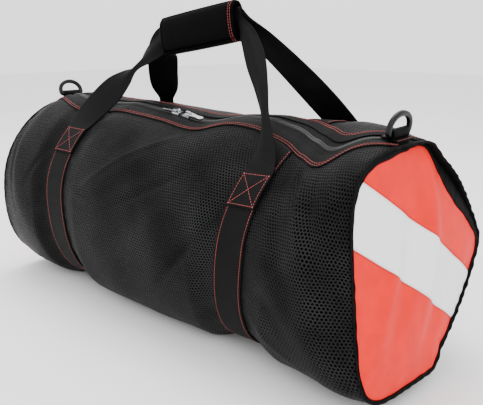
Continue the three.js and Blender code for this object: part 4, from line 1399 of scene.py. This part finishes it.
def ring_frame(label):
    """Where a ring's bar lies: its middle, the way along the zip, the bar's way, and away from the bag"""
    joint = joint_named(f"ring_{label}_swing")
    bar = unit(np.array(joint["axis"], float))
    slope = RING_SLOPES[label] * DEG
    along = np.array([math.cos(slope), 0, math.sin(slope)])
    along = unit(along - bar * float(along @ bar))
    return np.array(joint["pos_m"], float), along, bar, np.cross(along, bar)


def ring_path():
    """The middle line of a moulded ring as (along its bar, away from it), corner by corner"""
    half = RING_WIDTH / 2 - RING_BAND / 2
    corner = RING_BAND * 0.62
    cheek = RING_HEIGHT * 0.22
    top = RING_HEIGHT - RING_BAND
    path = [(s, 0.0) for s in np.linspace(corner - half, half - corner, 9)]
    for angle in np.linspace(-75, 0, 5):
        path.append((half - corner + corner * math.cos(angle * DEG), corner + corner * math.sin(angle * DEG)))
    for angle in np.linspace(4, 176, 36):
        path.append((half * math.cos(angle * DEG), cheek + (top - cheek) * math.sin(angle * DEG)))
    for angle in np.linspace(180, 255, 5):
        path.append((corner - half + corner * math.cos(angle * DEG), corner + corner * math.sin(angle * DEG)))
    return np.array(path)


def build_ring(label):
    """A moulded ring"""
    middle, along, bar, away = ring_frame(label)
    path = ring_path()
    way = unit(np.roll(path, -1, axis=0) - np.roll(path, 1, axis=0))
    outward = np.stack([way[:, 1], -way[:, 0]], axis=-1)
    turn = np.arange(16) * 22.5
    across, depth = oval(turn, RING_BAND + RING_SWELL, RING_DEPTH + RING_SWELL, 3.0)
    spots = path[:, None] + outward[:, None] * across[None, :, None]
    points = middle + spots[..., :1] * bar + spots[..., 1:] * away + depth[None, :, None] * along
    lengths = np.concatenate([turn, [360]]) * DEG * RING_BAND / 2
    ring = skin(
        f"ring_moulding_{label}", points, flat_places(closed_run(points), lengths),
        round_section=True, round_path=True, inside=tuple(middle),
    )
    dress(ring, "plastic", "ring_plastic", f"d_ring_{label}", body=f"ring_{label}")


def build_tab(label, sizes):
    """The loop of webbing that holds a ring's bar"""
    middle, along, bar, away = ring_frame(label)
    reach = RING_BAND / 2 + TAB_BORE_SLACK + TAB_THICKNESS / 2
    base = -TAB_RISE + TAB_THICKNESS / 2
    start = math.asin(min(1, -base / reach * 0.72))
    angles = np.linspace(math.pi + start, -start, 28)
    loop = [(-TAB_FOOT, base), (-TAB_FOOT * 0.8, base), (-TAB_FOOT * 0.55, base + 0.2 * MM)]
    loop += [(reach * math.cos(a), reach * math.sin(a)) for a in angles]
    loop += [(TAB_FOOT * 0.55, base + 0.2 * MM), (TAB_FOOT * 0.8, base), (TAB_FOOT, base)]
    loop = np.array(loop)
    way = unit(np.gradient(loop, axis=0))
    out = np.stack([-way[:, 1], way[:, 0]], axis=-1)
    section = strip_section(-TAB_THICKNESS / 2, TAB_THICKNESS / 2, -TAB_WIDTH / 2, TAB_WIDTH / 2, 0.6 * MM, 7)
    spots = loop[:, None] + out[:, None] * section[None, :, 1, None]
    points = middle + spots[..., :1] * along + spots[..., 1:] * away + section[None, :, 0, None] * bar
    cloth = flat_places(run_lengths(loop), section_lengths(section))
    tab = skin(f"ring_tab_webbing_{label}", points, cloth, round_section=True, inside=tuple(middle))
    dress(tab, "webbing", "webbing", f"ring_tab_{label}")
    lines = []
    for side in (-1, 1):
        run = np.linspace(-0.88, 0.88, 30)[:, None] * TAB_WIDTH / 2
        spot = side * TAB_FOOT * TAB_ROW * along + (base + TAB_THICKNESS / 2 + STITCH_LIFT) * away
        lines.append((middle + spot + run * bar, np.broadcast_to(away, (30, 3))))
    sewn(f"ring_tab_stitches_{label}", lines, sizes)


def build_rings(sizes):
    for label in ("left", "right"):
        build_ring(label)
        build_tab(label, sizes)


def build_sliders():
    """Sliders and pulls keep their solids and get polished metal"""
    for label in ("left", "right"):
        for node in (f"zip_slider_{label}", f"zip_pull_{label}"):
            solid = frame["nodes"][node]
            solid.data.materials.clear()
            solid.data.materials.append(FINISHES["metal"])


def area_light(name, place, target, size, power):
    data = bpy.data.lights.new(name, "AREA")
    data.size = size
    data.energy = power
    light = placed(name, data)
    light.location = place
    light.rotation_euler = (Vector(target) - Vector(place)).to_track_quat("-Z", "Y").to_euler()


def build_stage():
    """Camera, soft lights, a pale room and a floor"""
    data = bpy.data.cameras.new("camera")
    data.sensor_width = 36
    data.lens = FOCAL_PIXELS * data.sensor_width / IMAGE_WIDTH
    data.clip_start = 0.01
    camera = placed("camera", data)
    azimuth = CAMERA_AZIMUTH * DEG
    elevation = CAMERA_ELEVATION * DEG
    level = math.cos(elevation)
    way = Vector((-math.sin(azimuth) * level, math.cos(azimuth) * level, -math.sin(elevation)))
    camera.location = CAMERA_PLACE
    camera.rotation_euler = way.to_track_quat("-Z", "Y").to_euler()
    bpy.context.scene.camera = camera

    world = bpy.data.worlds.new("room")
    world.use_nodes = True
    background = world.node_tree.nodes["Background"]
    background.inputs["Color"].default_value = (1, 1, 1, 1)
    background.inputs["Strength"].default_value = ROOM_LIGHT
    bpy.context.scene.world = world
    for light in LIGHTS:
        area_light(**light)

    mesh = bpy.data.meshes.new("floor")
    corners = [(-1, -1), (1, -1), (1, 1), (-1, 1)]
    mesh.from_pydata([(x * FLOOR_REACH, y * FLOOR_REACH, 0) for x, y in corners], [], [(0, 1, 2, 3)])
    mesh.materials.append(floor_finish())
    placed("floor", mesh)


def mix_finishes(sizes, colours):
    """Makes every material of the bag"""
    FINISHES["net"] = net_finish(sizes, colours)
    FINISHES["webbing"] = webbing_finish("webbing", colours.webbing, 1.5 * MM)
    FINISHES["tape"] = webbing_finish("facing_tape", colours.tape, 1.1 * MM)
    FINISHES["zip_tape"] = webbing_finish("zip_tape", shade(colours.tape, 1.5), 0.9 * MM)
    FINISHES["binding"] = webbing_finish("binding_tape", colours.webbing, 1.2 * MM, 0.2 * MM, 0.62)
    # The second colour of each nylon is the painted shade of its creases
    FINISHES["red"] = nylon_finish("red_nylon", colours.red, shade(colours.red, 0.86))
    FINISHES["white"] = nylon_finish("white_nylon", colours.white, shade(colours.white, 0.95))
    FINISHES["grip"] = grip_finish(colours.grip)
    FINISHES["thread"] = thread_finish(colours.thread)
    FINISHES["seam_thread"] = thread_finish(shade(colours.red, 0.45))
    FINISHES["coil"] = coil_finish(colours.tape)
    FINISHES["plastic"] = plastic_finish(colours.plastic)
    FINISHES["metal"] = metal_finish(colours.metal)


def step(name, hint, work):
    """One step of the build, as an operator"""

    def execute(self, context):
        work(context.scene)
        return {"FINISHED"}

    parts = dict(__doc__=hint, bl_idname=f"divebag.{name}", bl_label=name.capitalize(), execute=execute)
    return type(f"DIVEBAG_OT_{name}", (bpy.types.Operator,), parts)


STEPS = (
    step("stage", "Set the camera, the lights and the floor", lambda scene: build_stage()),
    step(
        "finishes", "Make the bag's materials",
        lambda scene: mix_finishes(scene.divebag_sizes, scene.divebag_colours),
    ),
    step("net", "Lay the sheet of net round the barrel", lambda scene: build_net(scene.divebag_sizes)),
    step("zip", "Sew the zip along the top", lambda scene: build_zip(scene.divebag_sizes)),
    step("belts", "Sew the belts round the barrel", lambda scene: build_belts(scene.divebag_sizes)),
    step("ends", "Close the ends with striped panels", lambda scene: build_ends(scene.divebag_sizes)),
    step("handles", "Make the handles and their grip", lambda scene: build_handles(scene.divebag_sizes)),
    step("rings", "Hang the rings in their tabs", lambda scene: build_rings(scene.divebag_sizes)),
)


class DIVEBAG_PT_panel(bpy.types.Panel):
    """The bag's sizes, colours and steps"""

    bl_idname = "DIVEBAG_PT_panel"
    bl_label = "Dive bag"
    bl_space_type = "VIEW_3D"
    bl_region_type = "UI"
    bl_category = "Dive bag"

    def draw(self, context):
        for group in (context.scene.divebag_sizes, context.scene.divebag_colours):
            for name in group.__annotations__:
                self.layout.prop(group, name)
        for kind in STEPS:
            self.layout.operator(kind.bl_idname)


CLASSES = (DiveBagSizes, DiveBagColours, *STEPS, DIVEBAG_PT_panel)


def register():
    for kind in CLASSES:
        bpy.utils.register_class(kind)
    bpy.types.Scene.divebag_sizes = PointerProperty(type=DiveBagSizes)
    bpy.types.Scene.divebag_colours = PointerProperty(type=DiveBagColours)


def unregister():
    del bpy.types.Scene.divebag_colours
    del bpy.types.Scene.divebag_sizes
    for kind in reversed(CLASSES):
        bpy.utils.unregister_class(kind)


def main():
    register()
    for kind in STEPS:
        getattr(bpy.ops.divebag, kind.bl_idname.split(".")[1])()


if __name__ == "__main__":
    main()
